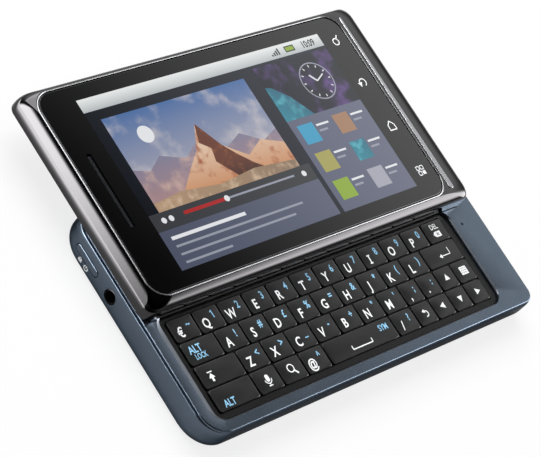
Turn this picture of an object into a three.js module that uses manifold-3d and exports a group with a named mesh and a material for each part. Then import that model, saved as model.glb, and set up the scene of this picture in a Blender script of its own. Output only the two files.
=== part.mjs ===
// A slider phone, open, with its keyboard showing. The base lies flat on its back cover and carries
// the keyboard, the board and the battery. The display half slides over it on a steel carriage.
// Millimetres. +X runs along the phone to the end with the chin, +Y to the side that the display
// opens towards, +Z up. The origin is the middle of the base's flat back.

import * as THREE from 'three';
import { mergeVertices } from 'three/addons/utils/BufferGeometryUtils.js';
import Module from 'manifold-3d';

const wasm = await Module();
wasm.setup();

// Driving dimensions of the whole phone

const bodyLength = 116.4;
const bodyWidth = 60;
const chinLength = 3.45;
const slabSideInset = 0.6;
const slideTravel = 29;
const slideGap = 0.3;

// Clearances that every piece shares

const seatGap = 0.3;
const seamGap = 0.25;
const overrun = 1;

// The base shell. Its corners are tighter at the chin, and wider towards the back cover. Its rim
// leans in under the deck's edge.

const shellWall = 1.6;
const shellCorners = { left: 6.9, right: 2.8 };
const shellCornerGrowth = { left: 1.5, right: 0.5 };
const shellFoot = { inward: 1.1, upward: 3 };
const shellRim = { inward: 0.6, downward: 2 };

// The deck over the base

const deckPlateThickness = 1.2;
const deckEdgeInset = 0.6;
const deckEdgeChamfer = 0.4;
const scoopDepth = 0.25;
const scoopWidths = { left: 0.9, right: 0.5, near: 0.7, far: 0.3 };
const recessCorner = 3;
const micHoleDiameter = 0.8;
const micHoleFromChinEnd = 8.05;
const micHoleFromFarEdge = 35.15;

// The keyboard

const keyGap = 0.35;
const keyCorner = 0.6;
const keyTopChamfer = 0.25;
const keyThickness = 0.65;
const keyBlockFromLeftEnd = 6.35;
const keyBlockFromChinEnd = 13.57;
const keyBlockFromNearEdge = 4.75;
const recessUnderSlab = 0.9;
const keyBorders = { left: 1.8, right: 2.5, near: 1.75, far: 1.75 };
const matThickness = 0.6;
const matRidgeHeight = 0.45;

// The board, the battery and the rest inside the base

const boardThickness = 0.7;
const boardCorner = 4;
const batteryFromLeftEnd = 44.3;
const batteryFromChinEnd = 18;
const batteryFromSides = 8;
const batteryCorner = 1.5;
const batteryEdgeChamfer = 0.4;
const jackDiameter = 3.5;
const jackBoreWall = 0.25;
const jackFromFarEdge = 20.5;
const jackBodyLength = 13;
const jackBodyWidth = 6;
const usbWidth = 7.4;
const usbHeight = 1.9;
const usbShellWall = 0.4;
const usbDepth = 5.2;
const usbFromCamera = 0.8;
const shieldLength = 17;
const shieldWidth = 26;
const shieldHeight = 2.4;
const shieldFromCamera = 0.8;
const shieldFromFarEdge = 28.75;
const speakerLength = 10;
const speakerWidth = 15;
const speakerFromLeftEnd = 4.2;
const speakerFromNearEdge = 8.75;
const grilleSlotCount = 5;
const grilleSlotWidth = 0.9;
const grilleSlotPitch = 1.8;
const grilleSlotLength = 11;
const cameraBodySize = 8.4;
const cameraBarrelDiameter = 6.4;
const cameraRecess = 0.4;
const cameraFromLeftEnd = 12;
const cameraFromJack = 1.05;

// The back cover

const coverSkin = 0.8;
const coverFromLeftEnd = 31;
const coverRimHeight = 2;

// The side buttons

const buttonHeight = 2;
const buttonProud = 0.4;
const buttonChamfer = 0.25;
const buttonFlangeThickness = 0.5;
const buttonFlangeReach = 0.8;
const powerButtonLength = 8.6;
const powerButtonFromFarEdge = 10.75;
const volumeRockerLength = 20;
const volumeRockerFromUsb = 1.8;
const cameraButtonLength = 11;
const cameraButtonFromChinEnd = 22;

// The display half

const slabCorner = 2.8;
const slabBottomChamfer = 0.2;
const bevelRiseShare = 0.7;
const bevelInwardShares = { left: 2, right: 0.45, near: 1, far: 1.1 };
const bevelSteps = 8;
const glassMargins = { left: 2.85, right: 8.6, near: 2.9, far: 2.1 };
const glassCorner = 4.6;
const glassThickness = 1.1;
const glassEdgeChamfer = 0.2;
const glassSink = 0.1;
const rimWidth = 0.45;
const earSlotLength = 20;
const earSlotWidth = 1.5;
const earSlotFromGlassEnd = 5.2;
const lcdMargins = { left: 7.6, right: 5.9, near: 1.9, far: 1.9 };
const lcdThickness = 1.9;
const lcdCorner = 0.8;
const rearPocketInset = 2.6;

// The slide

const pocketEase = 0.2;
const plateThickness = 0.8;
const plateCorner = 4;
const carriageThickness = 0.6;
const carriageCorner = 1.5;
const carriageSink = 0.2;
const carriageFromRecess = 3.75;
const carriageFromFarEdge = 3.75;
const carriageFromLeftEnd = 9;
const carriageFromChinEnd = 14;
const channelFloorThickness = 0.7;
const hookStemWidth = 1.2;
const hookHeadWidth = 3.4;
const hookHeadThickness = 0.5;
const hookEase = 0.4;
const hookInset = 5;

// Heights, from the back up. The headphone jack sets the base's, and the layers under the glass
// set the slab's.

const innerFloor = shellWall + seatGap;
const boardTop = innerFloor + jackDiameter + jackBoreWall * 2;
const boardBottom = boardTop - boardThickness;
const jackHeight = (innerFloor + boardTop) / 2;
const usbCentreHeight = boardBottom - usbShellWall - usbHeight / 2;
const buttonCentreHeight = boardBottom - seatGap - buttonHeight / 2;
const deckBottom = boardTop + seatGap;
const carriageBottom = deckBottom + channelFloorThickness + seatGap;
const carriageTop = carriageBottom + carriageThickness;
const deckHeight = carriageTop + carriageSink;
const deckPlateBottom = deckHeight - deckPlateThickness;
const shellRimHeight = deckPlateBottom - seatGap;
const matBottom = boardTop + seatGap;
const matTop = matBottom + matThickness;
const keyBottom = matTop + seatGap;
const keyTop = keyBottom + keyThickness;
const slabBottom = deckHeight + slideGap;
const plateTop = slabBottom + plateThickness;
const hookHeadBottom = plateTop + seatGap;
const hookTop = hookHeadBottom + hookHeadThickness;
const lcdBottom = hookTop + hookEase;
const lcdTop = lcdBottom + lcdThickness;
const glassBottom = lcdTop + seatGap;
const glassTop = glassBottom + glassThickness;
const bodyThickness = glassTop + glassSink;

// The outer edges of the base, and what stands along them

const farEdge = bodyWidth / 2;
const nearEdge = -farEdge;
const chinEnd = bodyLength / 2;
const leftEnd = -chinEnd;

// The headphone jack places the camera, the camera the micro-USB port, and the port the rocker
const jackY = farEdge - jackFromFarEdge;
const cameraX = leftEnd + cameraFromLeftEnd;
const cameraY = jackY + jackBodyWidth / 2 + cameraFromJack + cameraBodySize / 2;
const usbX = cameraX + (cameraBodySize + usbWidth) / 2 + usbShellWall + usbFromCamera;
const volumeRockerX =
  usbX + (usbWidth + volumeRockerLength) / 2 + usbShellWall + volumeRockerFromUsb;

// Colours, roughness and metalness of each material

const paint = (color, roughness, metalness = 0) =>
  new THREE.MeshStandardMaterial({ color, roughness, metalness });
const slatePlastic = paint(0x4f5f6f, 0.42);
const gunmetal = paint(0x3a3c42, 0.25, 0.8);
const blackGlass = paint(0x0b0b0d, 0.05);
const screenGrey = paint(0x2a3346, 0.3);
const blackKey = paint(0x1c1c1e, 0.3);
const blackRubber = paint(0x141416, 0.6);
const steel = paint(0x9a9da1, 0.35, 1);
const boardGreen = paint(0x1f4a33, 0.5);
const batteryGrey = paint(0x3d4045, 0.5);

// Outlines and solids

// Rectangle with round corners, which may have another radius at the right end
function roundedOutline({ left, right, near, far }, leftRadius, steps = 6, rightRadius = leftRadius) {
  const corners = [
    [right - rightRadius, far - rightRadius, rightRadius],
    [left + leftRadius, far - leftRadius, leftRadius],
    [left + leftRadius, near + leftRadius, leftRadius],
    [right - rightRadius, near + rightRadius, rightRadius],
  ];
  const points = [];
  for (const [quarter, [x, y, radius]] of corners.entries()) {
    for (let step = 0; step <= steps; step += 1) {
      const angle = ((quarter + step / steps) * Math.PI) / 2;
      points.push(new THREE.Vector2(x + radius * Math.cos(angle), y + radius * Math.sin(angle)));
    }
  }
  return points;
}

function centredBox(x, y, length, width) {
  return { left: x - length / 2, right: x + length / 2, near: y - width / 2, far: y + width / 2 };
}

function shrink({ left, right, near, far }, inset) {
  return { left: left + inset, right: right - inset, near: near + inset, far: far - inset };
}

function within(box, margins) {
  return {
    left: box.left + margins.left,
    right: box.right - margins.right,
    near: box.near + margins.near,
    far: box.far - margins.far,
  };
}

// Closed solid through outlines that have as many points each, from the lowest up
function loft(rings) {
  const count = rings[0].points.length;
  const positions = [];
  for (const { z, points } of rings) {
    for (const point of points) positions.push(point.x, point.y, z);
  }
  const index = [];
  const top = (rings.length - 1) * count;
  for (let ring = 0; ring < rings.length - 1; ring += 1) {
    for (let here = 0; here < count; here += 1) {
      const next = (here + 1) % count;
      const low = ring * count;
      const high = low + count;
      index.push(low + here, low + next, high + next);
      index.push(low + here, high + next, high + here);
    }
  }
  for (let here = 1; here < count - 1; here += 1) {
    index.push(0, here + 1, here);
    index.push(top, top + here, top + here + 1);
  }
  const geometry = new THREE.BufferGeometry();
  geometry.setAttribute('position', new THREE.Float32BufferAttribute(positions, 3));
  geometry.setIndex(index);
  return solidOf(geometry);
}

function prism(box, radius, bottom, top, steps) {
  const points = roundedOutline(box, radius, steps);
  return loft([{ z: bottom, points }, { z: top, points }]);
}

// Prism whose upper edge is chamfered
function cappedPrism(box, radius, bottom, top, chamfer, steps) {
  const points = roundedOutline(box, radius, steps);
  const crown = roundedOutline(shrink(box, chamfer), radius - chamfer, steps);
  return loft([{ z: bottom, points }, { z: top - chamfer, points }, { z: top, points: crown }]);
}

function block(box, bottom, top) {
  const geometry = new THREE.BoxGeometry(box.right - box.left, box.far - box.near, top - bottom);
  geometry.translate((box.left + box.right) / 2, (box.near + box.far) / 2, (bottom + top) / 2);
  return solidOf(geometry);
}

function rod(diameter, length, sides) {
  return new THREE.CylinderGeometry(diameter / 2, diameter / 2, length, sides);
}

function solidOf(geometry) {
  const bare = geometry.clone();
  bare.deleteAttribute('normal');
  bare.deleteAttribute('uv');
  const merged = mergeVertices(bare);
  return new wasm.Manifold(new wasm.Mesh({
    numProp: 3,
    vertProperties: new Float32Array(merged.attributes.position.array),
    triVerts: new Uint32Array(merged.index.array),
  }));
}

function meshOf(name, solid, material) {
  const { vertProperties, triVerts } = solid.getMesh();
  const geometry = new THREE.BufferGeometry();
  geometry.setAttribute('position', new THREE.Float32BufferAttribute(vertProperties, 3));
  geometry.setIndex(Array.from(triVerts));
  geometry.computeVertexNormals();
  const mesh = new THREE.Mesh(geometry, material);
  mesh.name = name;
  return mesh;
}

const shellBox = { left: leftEnd, right: chinEnd, near: nearEdge, far: farEdge };
const cornerSteps = 6;
const bowlSteps = 4;
const rimSteps = 4;

// The base's outline drawn in by an inset. Its corners tighten with the depth under the surface,
// and are wider low on the foot.
function shellOutline(inset, depth = inset, footShare = 0) {
  const left = shellCorners.left + shellCornerGrowth.left * footShare - depth;
  const right = shellCorners.right + shellCornerGrowth.right * footShare - depth;
  return roundedOutline(shrink(shellBox, inset), left, cornerSteps, right);
}

// The base's outer form, or a form inside it that lies the given depth under its surface
function bowl(depth, top) {
  const rings = [];
  const rise = shellFoot.upward - depth;
  const reach = (shellFoot.inward * rise) / shellFoot.upward;
  for (let step = 0; step <= bowlSteps; step += 1) {
    const angle = ((step / bowlSteps) * Math.PI) / 2;
    const footShare = 1 - Math.sin(angle);
    rings.push({
      z: shellFoot.upward - rise * Math.cos(angle),
      points: shellOutline(depth + reach * footShare, depth, footShare),
    });
  }
  if (depth === 0) {
    for (let step = 0; step <= rimSteps; step += 1) {
      const angle = ((step / rimSteps) * Math.PI) / 2;
      rings.push({
        z: top - shellRim.downward * (1 - Math.sin(angle)),
        points: shellOutline(shellRim.inward * (1 - Math.cos(angle))),
      });
    }
  } else {
    rings.push({ z: top, points: shellOutline(depth) });
  }
  return loft(rings);
}

// Side buttons: a cap that stands through the wall, on a wider flange behind it.
// Each is made at the origin, pointing up, with the wall's outer face at z = 0.

const wallHoleEase = seatGap * 2;

function buttonSolid(length) {
  const cap = centredBox(0, 0, length, buttonHeight);
  const capRadius = buttonHeight / 2 - buttonChamfer / 2;
  const flangeTop = -shellWall - seatGap;
  const flangeBottom = flangeTop - buttonFlangeThickness;
  const flange = centredBox(0, 0, length + buttonFlangeReach * 2, buttonHeight);
  return cappedPrism(cap, capRadius, flangeBottom, buttonProud, buttonChamfer, 3)
    .add(block(flange, flangeBottom, flangeTop));
}

function buttonHole(length) {
  const opening = centredBox(0, 0, length + wallHoleEase, buttonHeight + wallHoleEase);
  const radius = (buttonHeight + wallHoleEase) / 2 - buttonChamfer / 2;
  return prism(opening, radius, -shellWall - overrun, overrun, 3);
}

// Turns a solid that points up so that it points out of the far edge or the left end
const quarterTurn = 90;
const turns = { far: [-quarterTurn, 0, 0], left: [0, -quarterTurn, 0] };

const powerButtonPlace = [leftEnd, farEdge - powerButtonFromFarEdge, buttonCentreHeight];
const volumeRockerPlace = [volumeRockerX, farEdge, buttonCentreHeight];
const cameraButtonPlace = [chinEnd - cameraButtonFromChinEnd, farEdge, buttonCentreHeight];

// A cap lies along X as it is made, so for the left end it is first turned to lie along Y
function placedAtLeft(solid) {
  return solid.rotate([0, 0, quarterTurn]).rotate(turns.left).translate(powerButtonPlace);
}

function placedAtFar(solid, place) {
  return solid.rotate(turns.far).translate(place);
}

const powerButton = placedAtLeft(buttonSolid(powerButtonLength));
const volumeRocker = placedAtFar(buttonSolid(volumeRockerLength), volumeRockerPlace);
const cameraButton = placedAtFar(buttonSolid(cameraButtonLength), cameraButtonPlace);

// Sockets: the headphone jack in the left end and the micro-USB port in the far edge

const jackSides = 20;

function jackBore(diameter, length) {
  const bore = rod(diameter, length, jackSides);
  bore.rotateZ(Math.PI / 2);
  bore.translate(leftEnd + length / 2 - overrun, jackY, jackHeight);
  return solidOf(bore);
}

function usbSlot(ease, depth) {
  const opening = centredBox(0, 0, usbWidth + ease, usbHeight + ease);
  return prism(opening, (usbHeight + ease) / 4, -depth, overrun, 2)
    .rotate(turns.far)
    .translate([usbX, farEdge, usbCentreHeight]);
}

// Camera and loudspeaker places on the back

const cameraSides = 24;
const speakerBox = {
  left: leftEnd + speakerFromLeftEnd,
  right: leftEnd + speakerFromLeftEnd + speakerLength,
  near: nearEdge + speakerFromNearEdge,
  far: nearEdge + speakerFromNearEdge + speakerWidth,
};

function cameraRod(diameter, bottom, top) {
  const barrel = rod(diameter, top - bottom, cameraSides);
  barrel.rotateX(Math.PI / 2);
  barrel.translate(cameraX, cameraY, (bottom + top) / 2);
  return solidOf(barrel);
}

// Battery: it stands between the back cover and the board

const batteryBottom = coverSkin + seatGap;
const batteryTop = boardBottom - seatGap;
const batteryBox = within(shellBox, {
  left: batteryFromLeftEnd,
  right: batteryFromChinEnd,
  near: batteryFromSides,
  far: batteryFromSides,
});
const battery = cappedPrism(
  batteryBox, batteryCorner, batteryBottom, batteryTop, batteryEdgeChamfer, 3);

// Rear housing: the shell, open above for the deck and open below behind the back cover

const slotEndShare = 0.49;
const coverSplit = leftEnd + coverFromLeftEnd;

function coverRegion(left, top) {
  return block({
    left,
    right: chinEnd + overrun,
    near: nearEdge - overrun,
    far: farEdge + overrun,
  }, -overrun, top);
}

function rearHousing() {
  const coverRoom = coverRegion(coverSplit - seamGap, coverRimHeight + seamGap)
    .subtract(bowl(coverSkin + seatGap, shellRimHeight + overrun));
  const bay = prism(shrink(batteryBox, -seatGap), batteryCorner + seatGap, 0, batteryTop, 3);
  let housing = bowl(0, shellRimHeight)
    .subtract(bowl(shellWall, shellRimHeight + overrun))
    .subtract(coverRoom)
    .subtract(bay)
    .subtract(placedAtLeft(buttonHole(powerButtonLength)))
    .subtract(placedAtFar(buttonHole(volumeRockerLength), volumeRockerPlace))
    .subtract(placedAtFar(buttonHole(cameraButtonLength), cameraButtonPlace))
    .subtract(jackBore(jackDiameter + seamGap, shellWall + overrun * 2))
    .subtract(usbSlot(usbShellWall * 2 + seatGap, shellWall + overrun))
    .subtract(cameraRod(cameraBarrelDiameter + wallHoleEase, -overrun, shellWall + overrun));
  const speakerMidX = (speakerBox.left + speakerBox.right) / 2;
  const speakerMidY = (speakerBox.near + speakerBox.far) / 2;
  for (let slot = 0; slot < grilleSlotCount; slot += 1) {
    const x = speakerMidX + (slot - (grilleSlotCount - 1) / 2) * grilleSlotPitch;
    const opening = centredBox(x, speakerMidY, grilleSlotWidth, grilleSlotLength);
    housing = housing.subtract(
      prism(opening, grilleSlotWidth * slotEndShare, -overrun, shellWall + overrun, 2));
  }
  return housing;
}

// Back cover: a thin tray that is the rest of the base's underside

const batteryCover = bowl(0, shellRimHeight)
  .intersect(coverRegion(coverSplit, coverRimHeight))
  .subtract(bowl(coverSkin, shellRimHeight + overrun));

// Main board, with the parts that are soldered to it

const boardBox = shrink(shellBox, innerFloor);

function mainBoard() {
  const jackBody = {
    left: boardBox.left,
    right: boardBox.left + jackBodyLength,
    near: jackY - jackBodyWidth / 2,
    far: jackY + jackBodyWidth / 2,
  };
  const usbBody = {
    left: usbX - usbWidth / 2 - usbShellWall,
    right: usbX + usbWidth / 2 + usbShellWall,
    near: boardBox.far - usbDepth,
    far: boardBox.far,
  };
  const shieldLeft = cameraX + cameraBodySize / 2 + shieldFromCamera;
  const shieldBox = {
    left: shieldLeft,
    right: shieldLeft + shieldLength,
    near: farEdge - shieldFromFarEdge - shieldWidth / 2,
    far: farEdge - shieldFromFarEdge + shieldWidth / 2,
  };
  const usbBottom = usbCentreHeight - usbHeight / 2 - usbShellWall;
  return prism(boardBox, boardCorner, boardBottom, boardTop, 3)
    .add(block(jackBody, innerFloor, boardTop))
    .add(block(usbBody, usbBottom, boardTop))
    .add(block(shieldBox, boardBottom - shieldHeight, boardTop))
    .add(block(speakerBox, innerFloor, boardTop))
    .intersect(bowl(innerFloor, boardTop))
    .subtract(jackBore(jackDiameter, jackBodyLength + overrun))
    .subtract(usbSlot(0, usbDepth));
}

// Camera module: a square body on the board's underside and a barrel that looks out of the back

const cameraModule = block(
  centredBox(cameraX, cameraY, cameraBodySize, cameraBodySize),
  innerFloor, boardBottom - seatGap)
  .add(cameraRod(cameraBarrelDiameter, cameraRecess, boardBottom - seatGap));

// Keyboard: how wide each key is, in column pitches, row by row from the far side

const bracketShare = 1.65;
const lockShare = 1.35;
const columnShare = 1;
const spaceShare = 3;
const arrowShare = 0.8375;
const letters = (text) => Array.from(text, (letter) => [letter, columnShare]);
const keyRowsInShares = [
  [['euro', columnShare], ...letters('qwertyuiop'), ['del', columnShare]],
  [['alt_lock', lockShare], ...letters('asdfghjkl'), ['enter', bracketShare]],
  [['shift', bracketShare], ...letters('zxcvbnm'),
    ...['comma', 'period', 'up', 'face'].map((name) => [name, arrowShare])],
  [['alt', bracketShare], ...['mic', 'search', 'at'].map((name) => [name, columnShare]),
    ['space', spaceShare], ['slash', columnShare],
    ...['back', 'left', 'down', 'right'].map((name) => [name, arrowShare])],
];
const slabNearEdgeOpen = nearEdge + slabSideInset + slideTravel;
const keyBlock = {
  left: leftEnd + keyBlockFromLeftEnd,
  right: chinEnd - keyBlockFromChinEnd,
  near: nearEdge + keyBlockFromNearEdge,
  far: slabNearEdgeOpen + recessUnderSlab - keyBorders.far,
};
const keyColumns = keyRowsInShares[0].reduce((sum, [, share]) => sum + share, 0);
const keyPitchX = (keyBlock.right - keyBlock.left) / keyColumns;
const keyPitchY = (keyBlock.far - keyBlock.near) / keyRowsInShares.length;
const recessBox = {
  left: keyBlock.left - keyBorders.left,
  right: keyBlock.right + keyBorders.right,
  near: keyBlock.near - keyBorders.near,
  far: keyBlock.far + keyBorders.far,
};

function keyMeshes() {
  const meshes = [];
  keyRowsInShares.forEach((row, rowNumber) => {
    let left = keyBlock.left;
    const far = keyBlock.far - rowNumber * keyPitchY;
    for (const [name, share] of row) {
      const right = left + share * keyPitchX;
      const cell = { left, right, near: far - keyPitchY, far };
      const cap = cappedPrism(
        shrink(cell, keyGap / 2), keyCorner, keyBottom, keyTop, keyTopChamfer, 2);
      meshes.push(meshOf(`key_${name}`, cap, blackKey));
      left = right;
    }
  });
  return meshes;
}

// Key mat: a rubber sheet under the keys, with a ridge round them that shows as a black border

const matBox = shrink(recessBox, seamGap);
const keymat = prism(matBox, recessCorner - seamGap, matBottom, matTop + matRidgeHeight, 4)
  .subtract(prism(shrink(keyBlock, -seamGap / 2), keyCorner, matTop, deckHeight, 2));

// Carriage of the slide: a steel plate in a channel of the deck, with a hooked rail at each end

const carriageBox = {
  left: leftEnd + carriageFromLeftEnd,
  right: chinEnd - carriageFromChinEnd,
  near: recessBox.far + carriageFromRecess,
  far: farEdge - carriageFromFarEdge,
};
const hookXs = [carriageBox.left + hookInset, carriageBox.right - hookInset];
const railLength = carriageBox.far - carriageBox.near - carriageCorner;
const railMid = (carriageBox.near + carriageBox.far) / 2;

function slideCarriage() {
  let carriage = prism(carriageBox, carriageCorner, carriageBottom, carriageTop, 2);
  for (const x of hookXs) {
    const stem = centredBox(x, railMid, hookStemWidth, railLength);
    const head = centredBox(x, railMid, hookHeadWidth, railLength);
    carriage = carriage
      .add(block(stem, carriageBottom, hookTop))
      .add(block(head, hookHeadBottom, hookTop));
  }
  return carriage;
}

// Keyboard deck: the top face of the base, with the keyboard recess and the carriage's channel

function keyboardDeck() {
  const plate = loft([
    { z: deckPlateBottom, points: shellOutline(deckEdgeInset) },
    { z: deckHeight - deckEdgeChamfer, points: shellOutline(deckEdgeInset) },
    { z: deckHeight, points: shellOutline(deckEdgeInset + deckEdgeChamfer) },
  ]);
  const skirtOutline = shellOutline(shellWall + seatGap);
  const skirt = loft([
    { z: deckBottom, points: skirtOutline },
    { z: deckHeight - deckPlateThickness / 2, points: skirtOutline },
  ]);
  const scoopEdge = roundedOutline({
    left: recessBox.left - scoopWidths.left,
    right: recessBox.right + scoopWidths.right,
    near: recessBox.near - scoopWidths.near,
    far: recessBox.far + scoopWidths.far,
  }, recessCorner + scoopWidths.left);
  const scoop = loft([
    { z: deckHeight - scoopDepth, points: roundedOutline(recessBox, recessCorner) },
    { z: deckHeight, points: scoopEdge },
    { z: deckHeight + overrun, points: scoopEdge },
  ]);
  const channel = shrink(carriageBox, -seatGap);
  const micHole = rod(micHoleDiameter, deckPlateThickness, 8);
  micHole.rotateX(Math.PI / 2);
  micHole.translate(chinEnd - micHoleFromChinEnd, farEdge - micHoleFromFarEdge, deckHeight);
  return plate
    .add(skirt)
    .subtract(prism(recessBox, recessCorner, deckBottom - overrun, deckHeight + overrun))
    .subtract(scoop)
    .subtract(prism(channel, carriageCorner, carriageBottom - seatGap, deckHeight + overrun, 2))
    .subtract(solidOf(micHole));
}

// Display half, drawn where it stands when the phone is closed

const slabBox = {
  left: leftEnd,
  right: chinEnd - chinLength,
  near: nearEdge + slabSideInset,
  far: farEdge - slabSideInset,
};
const glassBox = within(slabBox, glassMargins);
const rimBox = shrink(glassBox, -rimWidth);
const rimCorner = glassCorner + rimWidth;
const lcdBox = within(glassBox, lcdMargins);
const pocketBox = shrink(slabBox, rearPocketInset);
const plateBox = shrink(pocketBox, seatGap);

// The bevel's outline at an angle of its curve, from the widest line at zero to the rim at a
// quarter turn. Each side draws in at its own rate, the left end the most evenly.
function bevelOutline(angle) {
  const inward = (share) => 1 - Math.max(Math.cos(angle), 0) ** share;
  const blend = (outer, inner, share) => outer + (inner - outer) * inward(share);
  return roundedOutline({
    left: blend(slabBox.left, rimBox.left, bevelInwardShares.left),
    right: blend(slabBox.right, rimBox.right, bevelInwardShares.right),
    near: blend(slabBox.near, rimBox.near, bevelInwardShares.near),
    far: blend(slabBox.far, rimBox.far, bevelInwardShares.far),
  }, blend(slabCorner, rimCorner, bevelInwardShares.near), 7);
}

function displayFrame() {
  const widest = slabBottom + slabBottomChamfer;
  const foot = roundedOutline(
    shrink(slabBox, slabBottomChamfer), slabCorner - slabBottomChamfer, 7);
  const rings = [{ z: slabBottom, points: foot }];
  for (let step = 0; step <= bevelSteps; step += 1) {
    const angle = ((step / bevelSteps) * Math.PI) / 2;
    const upward = Math.sin(angle) ** bevelRiseShare;
    rings.push({ z: widest + (bodyThickness - widest) * upward, points: bevelOutline(angle) });
  }
  const glassPocket = prism(
    shrink(glassBox, -seamGap), glassCorner + seamGap, glassBottom - seatGap,
    bodyThickness + overrun);
  const window = prism(
    shrink(lcdBox, -seatGap), lcdCorner, slabBottom - overrun, bodyThickness + overrun, 2);
  const rearPocket = prism(
    pocketBox, plateCorner + seatGap, slabBottom - overrun, hookTop + pocketEase, 4);
  return loft(rings).subtract(glassPocket).subtract(window).subtract(rearPocket);
}

function touchGlass() {
  const x = glassBox.left + earSlotFromGlassEnd;
  const y = (glassBox.near + glassBox.far) / 2;
  const slot = centredBox(x, y, earSlotWidth, earSlotLength);
  return cappedPrism(glassBox, glassCorner, glassBottom, glassTop, glassEdgeChamfer)
    .subtract(prism(slot, earSlotWidth * slotEndShare, glassBottom - overrun,
      glassTop + overrun, 3));
}

// Slide plate: the slab's steel back, with a slot for each hooked rail of the carriage
function slidePlate() {
  let plate = prism(plateBox, plateCorner, slabBottom, plateTop, 4);
  for (const x of hookXs) {
    const slot = {
      left: x - hookStemWidth / 2 - seatGap,
      right: x + hookStemWidth / 2 + seatGap,
      near: railMid - railLength / 2 - slideTravel - seatGap,
      far: railMid + railLength / 2 + seatGap,
    };
    plate = plate.subtract(block(slot, slabBottom - overrun, plateTop + overrun));
  }
  return plate;
}

// The phone, open

const base = new THREE.Group();
base.add(
  meshOf('rear_housing', rearHousing(), slatePlastic),
  meshOf('keyboard_deck', keyboardDeck(), slatePlastic),
  meshOf('keymat', keymat, blackRubber),
  meshOf('main_board', mainBoard(), boardGreen),
  meshOf('battery', battery, batteryGrey),
  meshOf('camera_module', cameraModule, blackRubber),
  meshOf('slide_carriage', slideCarriage(), steel),
  meshOf('battery_cover', batteryCover, slatePlastic),
  meshOf('power_button', powerButton, slatePlastic),
  meshOf('volume_rocker', volumeRocker, slatePlastic),
  meshOf('camera_button', cameraButton, slatePlastic),
  ...keyMeshes(),
);

const display = new THREE.Group();
display.position.y = slideTravel;
display.add(
  meshOf('display_frame', displayFrame(), gunmetal),
  meshOf('touch_glass', touchGlass(), blackGlass),
  meshOf('lcd_panel', prism(lcdBox, lcdCorner / 2, lcdBottom, lcdTop, 2), screenGrey),
  meshOf('slide_plate', slidePlate(), steel),
);

const phone = new THREE.Group();
phone.add(base, display);

export default phone;
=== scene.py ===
# A slider phone, open, lying on its back on a pale floor. Metres, +Z up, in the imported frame.
# The file follows the phone as it is put together: the studio, the base from the back up, the keys,
# the slide, and the display half with its lit screen.

import math
from collections import namedtuple

import bmesh
import bpy
from mathutils import Matrix, Vector


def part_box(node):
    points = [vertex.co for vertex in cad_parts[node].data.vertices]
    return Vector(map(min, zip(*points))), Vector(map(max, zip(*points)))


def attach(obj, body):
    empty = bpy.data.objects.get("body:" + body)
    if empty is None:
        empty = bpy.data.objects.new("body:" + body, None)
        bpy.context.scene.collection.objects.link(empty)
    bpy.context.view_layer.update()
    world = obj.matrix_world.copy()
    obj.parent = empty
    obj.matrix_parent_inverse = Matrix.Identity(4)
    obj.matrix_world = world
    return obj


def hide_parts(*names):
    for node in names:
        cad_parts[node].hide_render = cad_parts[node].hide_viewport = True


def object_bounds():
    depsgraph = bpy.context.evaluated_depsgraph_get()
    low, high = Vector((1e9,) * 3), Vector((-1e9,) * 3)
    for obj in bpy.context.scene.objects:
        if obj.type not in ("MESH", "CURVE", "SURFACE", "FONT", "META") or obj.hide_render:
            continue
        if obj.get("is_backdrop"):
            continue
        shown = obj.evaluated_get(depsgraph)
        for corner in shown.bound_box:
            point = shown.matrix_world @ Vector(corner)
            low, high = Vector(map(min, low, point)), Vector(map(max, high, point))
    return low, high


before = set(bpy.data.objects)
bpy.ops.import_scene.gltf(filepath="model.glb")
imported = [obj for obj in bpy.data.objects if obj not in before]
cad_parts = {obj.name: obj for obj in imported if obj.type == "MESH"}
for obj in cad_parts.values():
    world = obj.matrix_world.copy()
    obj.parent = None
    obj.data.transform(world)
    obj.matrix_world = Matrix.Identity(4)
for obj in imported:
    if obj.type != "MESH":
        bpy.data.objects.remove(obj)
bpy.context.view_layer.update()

# Camera: a long lens in front of the phone's left end and above it, rolled so that the long side of
# the phone climbs across the picture.

MM = 0.001
CAMERA_AT = Vector((-397.63, -112.89, 384.8)) * MM
CAMERA_AIM = Vector((-14.08, 8.72, 13.65)) * MM
CAMERA_ROLL = math.radians(45.27)
LENS_MM = 159.3
SENSOR_MM = 36

sight = (CAMERA_AIM - CAMERA_AT).normalized()
level = sight.cross(Vector((0, 0, 1))).normalized()
lens_up = level.cross(sight) * math.cos(CAMERA_ROLL) - level * math.sin(CAMERA_ROLL)
lens_right = sight.cross(lens_up)
turned = Matrix((lens_right, lens_up, -sight)).transposed().to_4x4()
camera = bpy.data.objects.new("camera", bpy.data.cameras.new("camera"))
camera.matrix_world = Matrix.Translation(CAMERA_AT) @ turned
camera.data.lens = LENS_MM
camera.data.sensor_width = SENSOR_MM
camera.data.clip_start = 10 * MM
bpy.context.scene.collection.objects.link(camera)
bpy.context.scene.camera = camera
bpy.context.scene.view_settings.view_transform = "Standard"

# Studio: a white floor that keeps a faint shadow, a white backdrop that fades to a dark ceiling
# and a dark room, and one soft lamp above the far side. Gloss alone also sees a white card beside
# the left end and a box at the near right, which draw the long highlights on the plated bevel.

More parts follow.
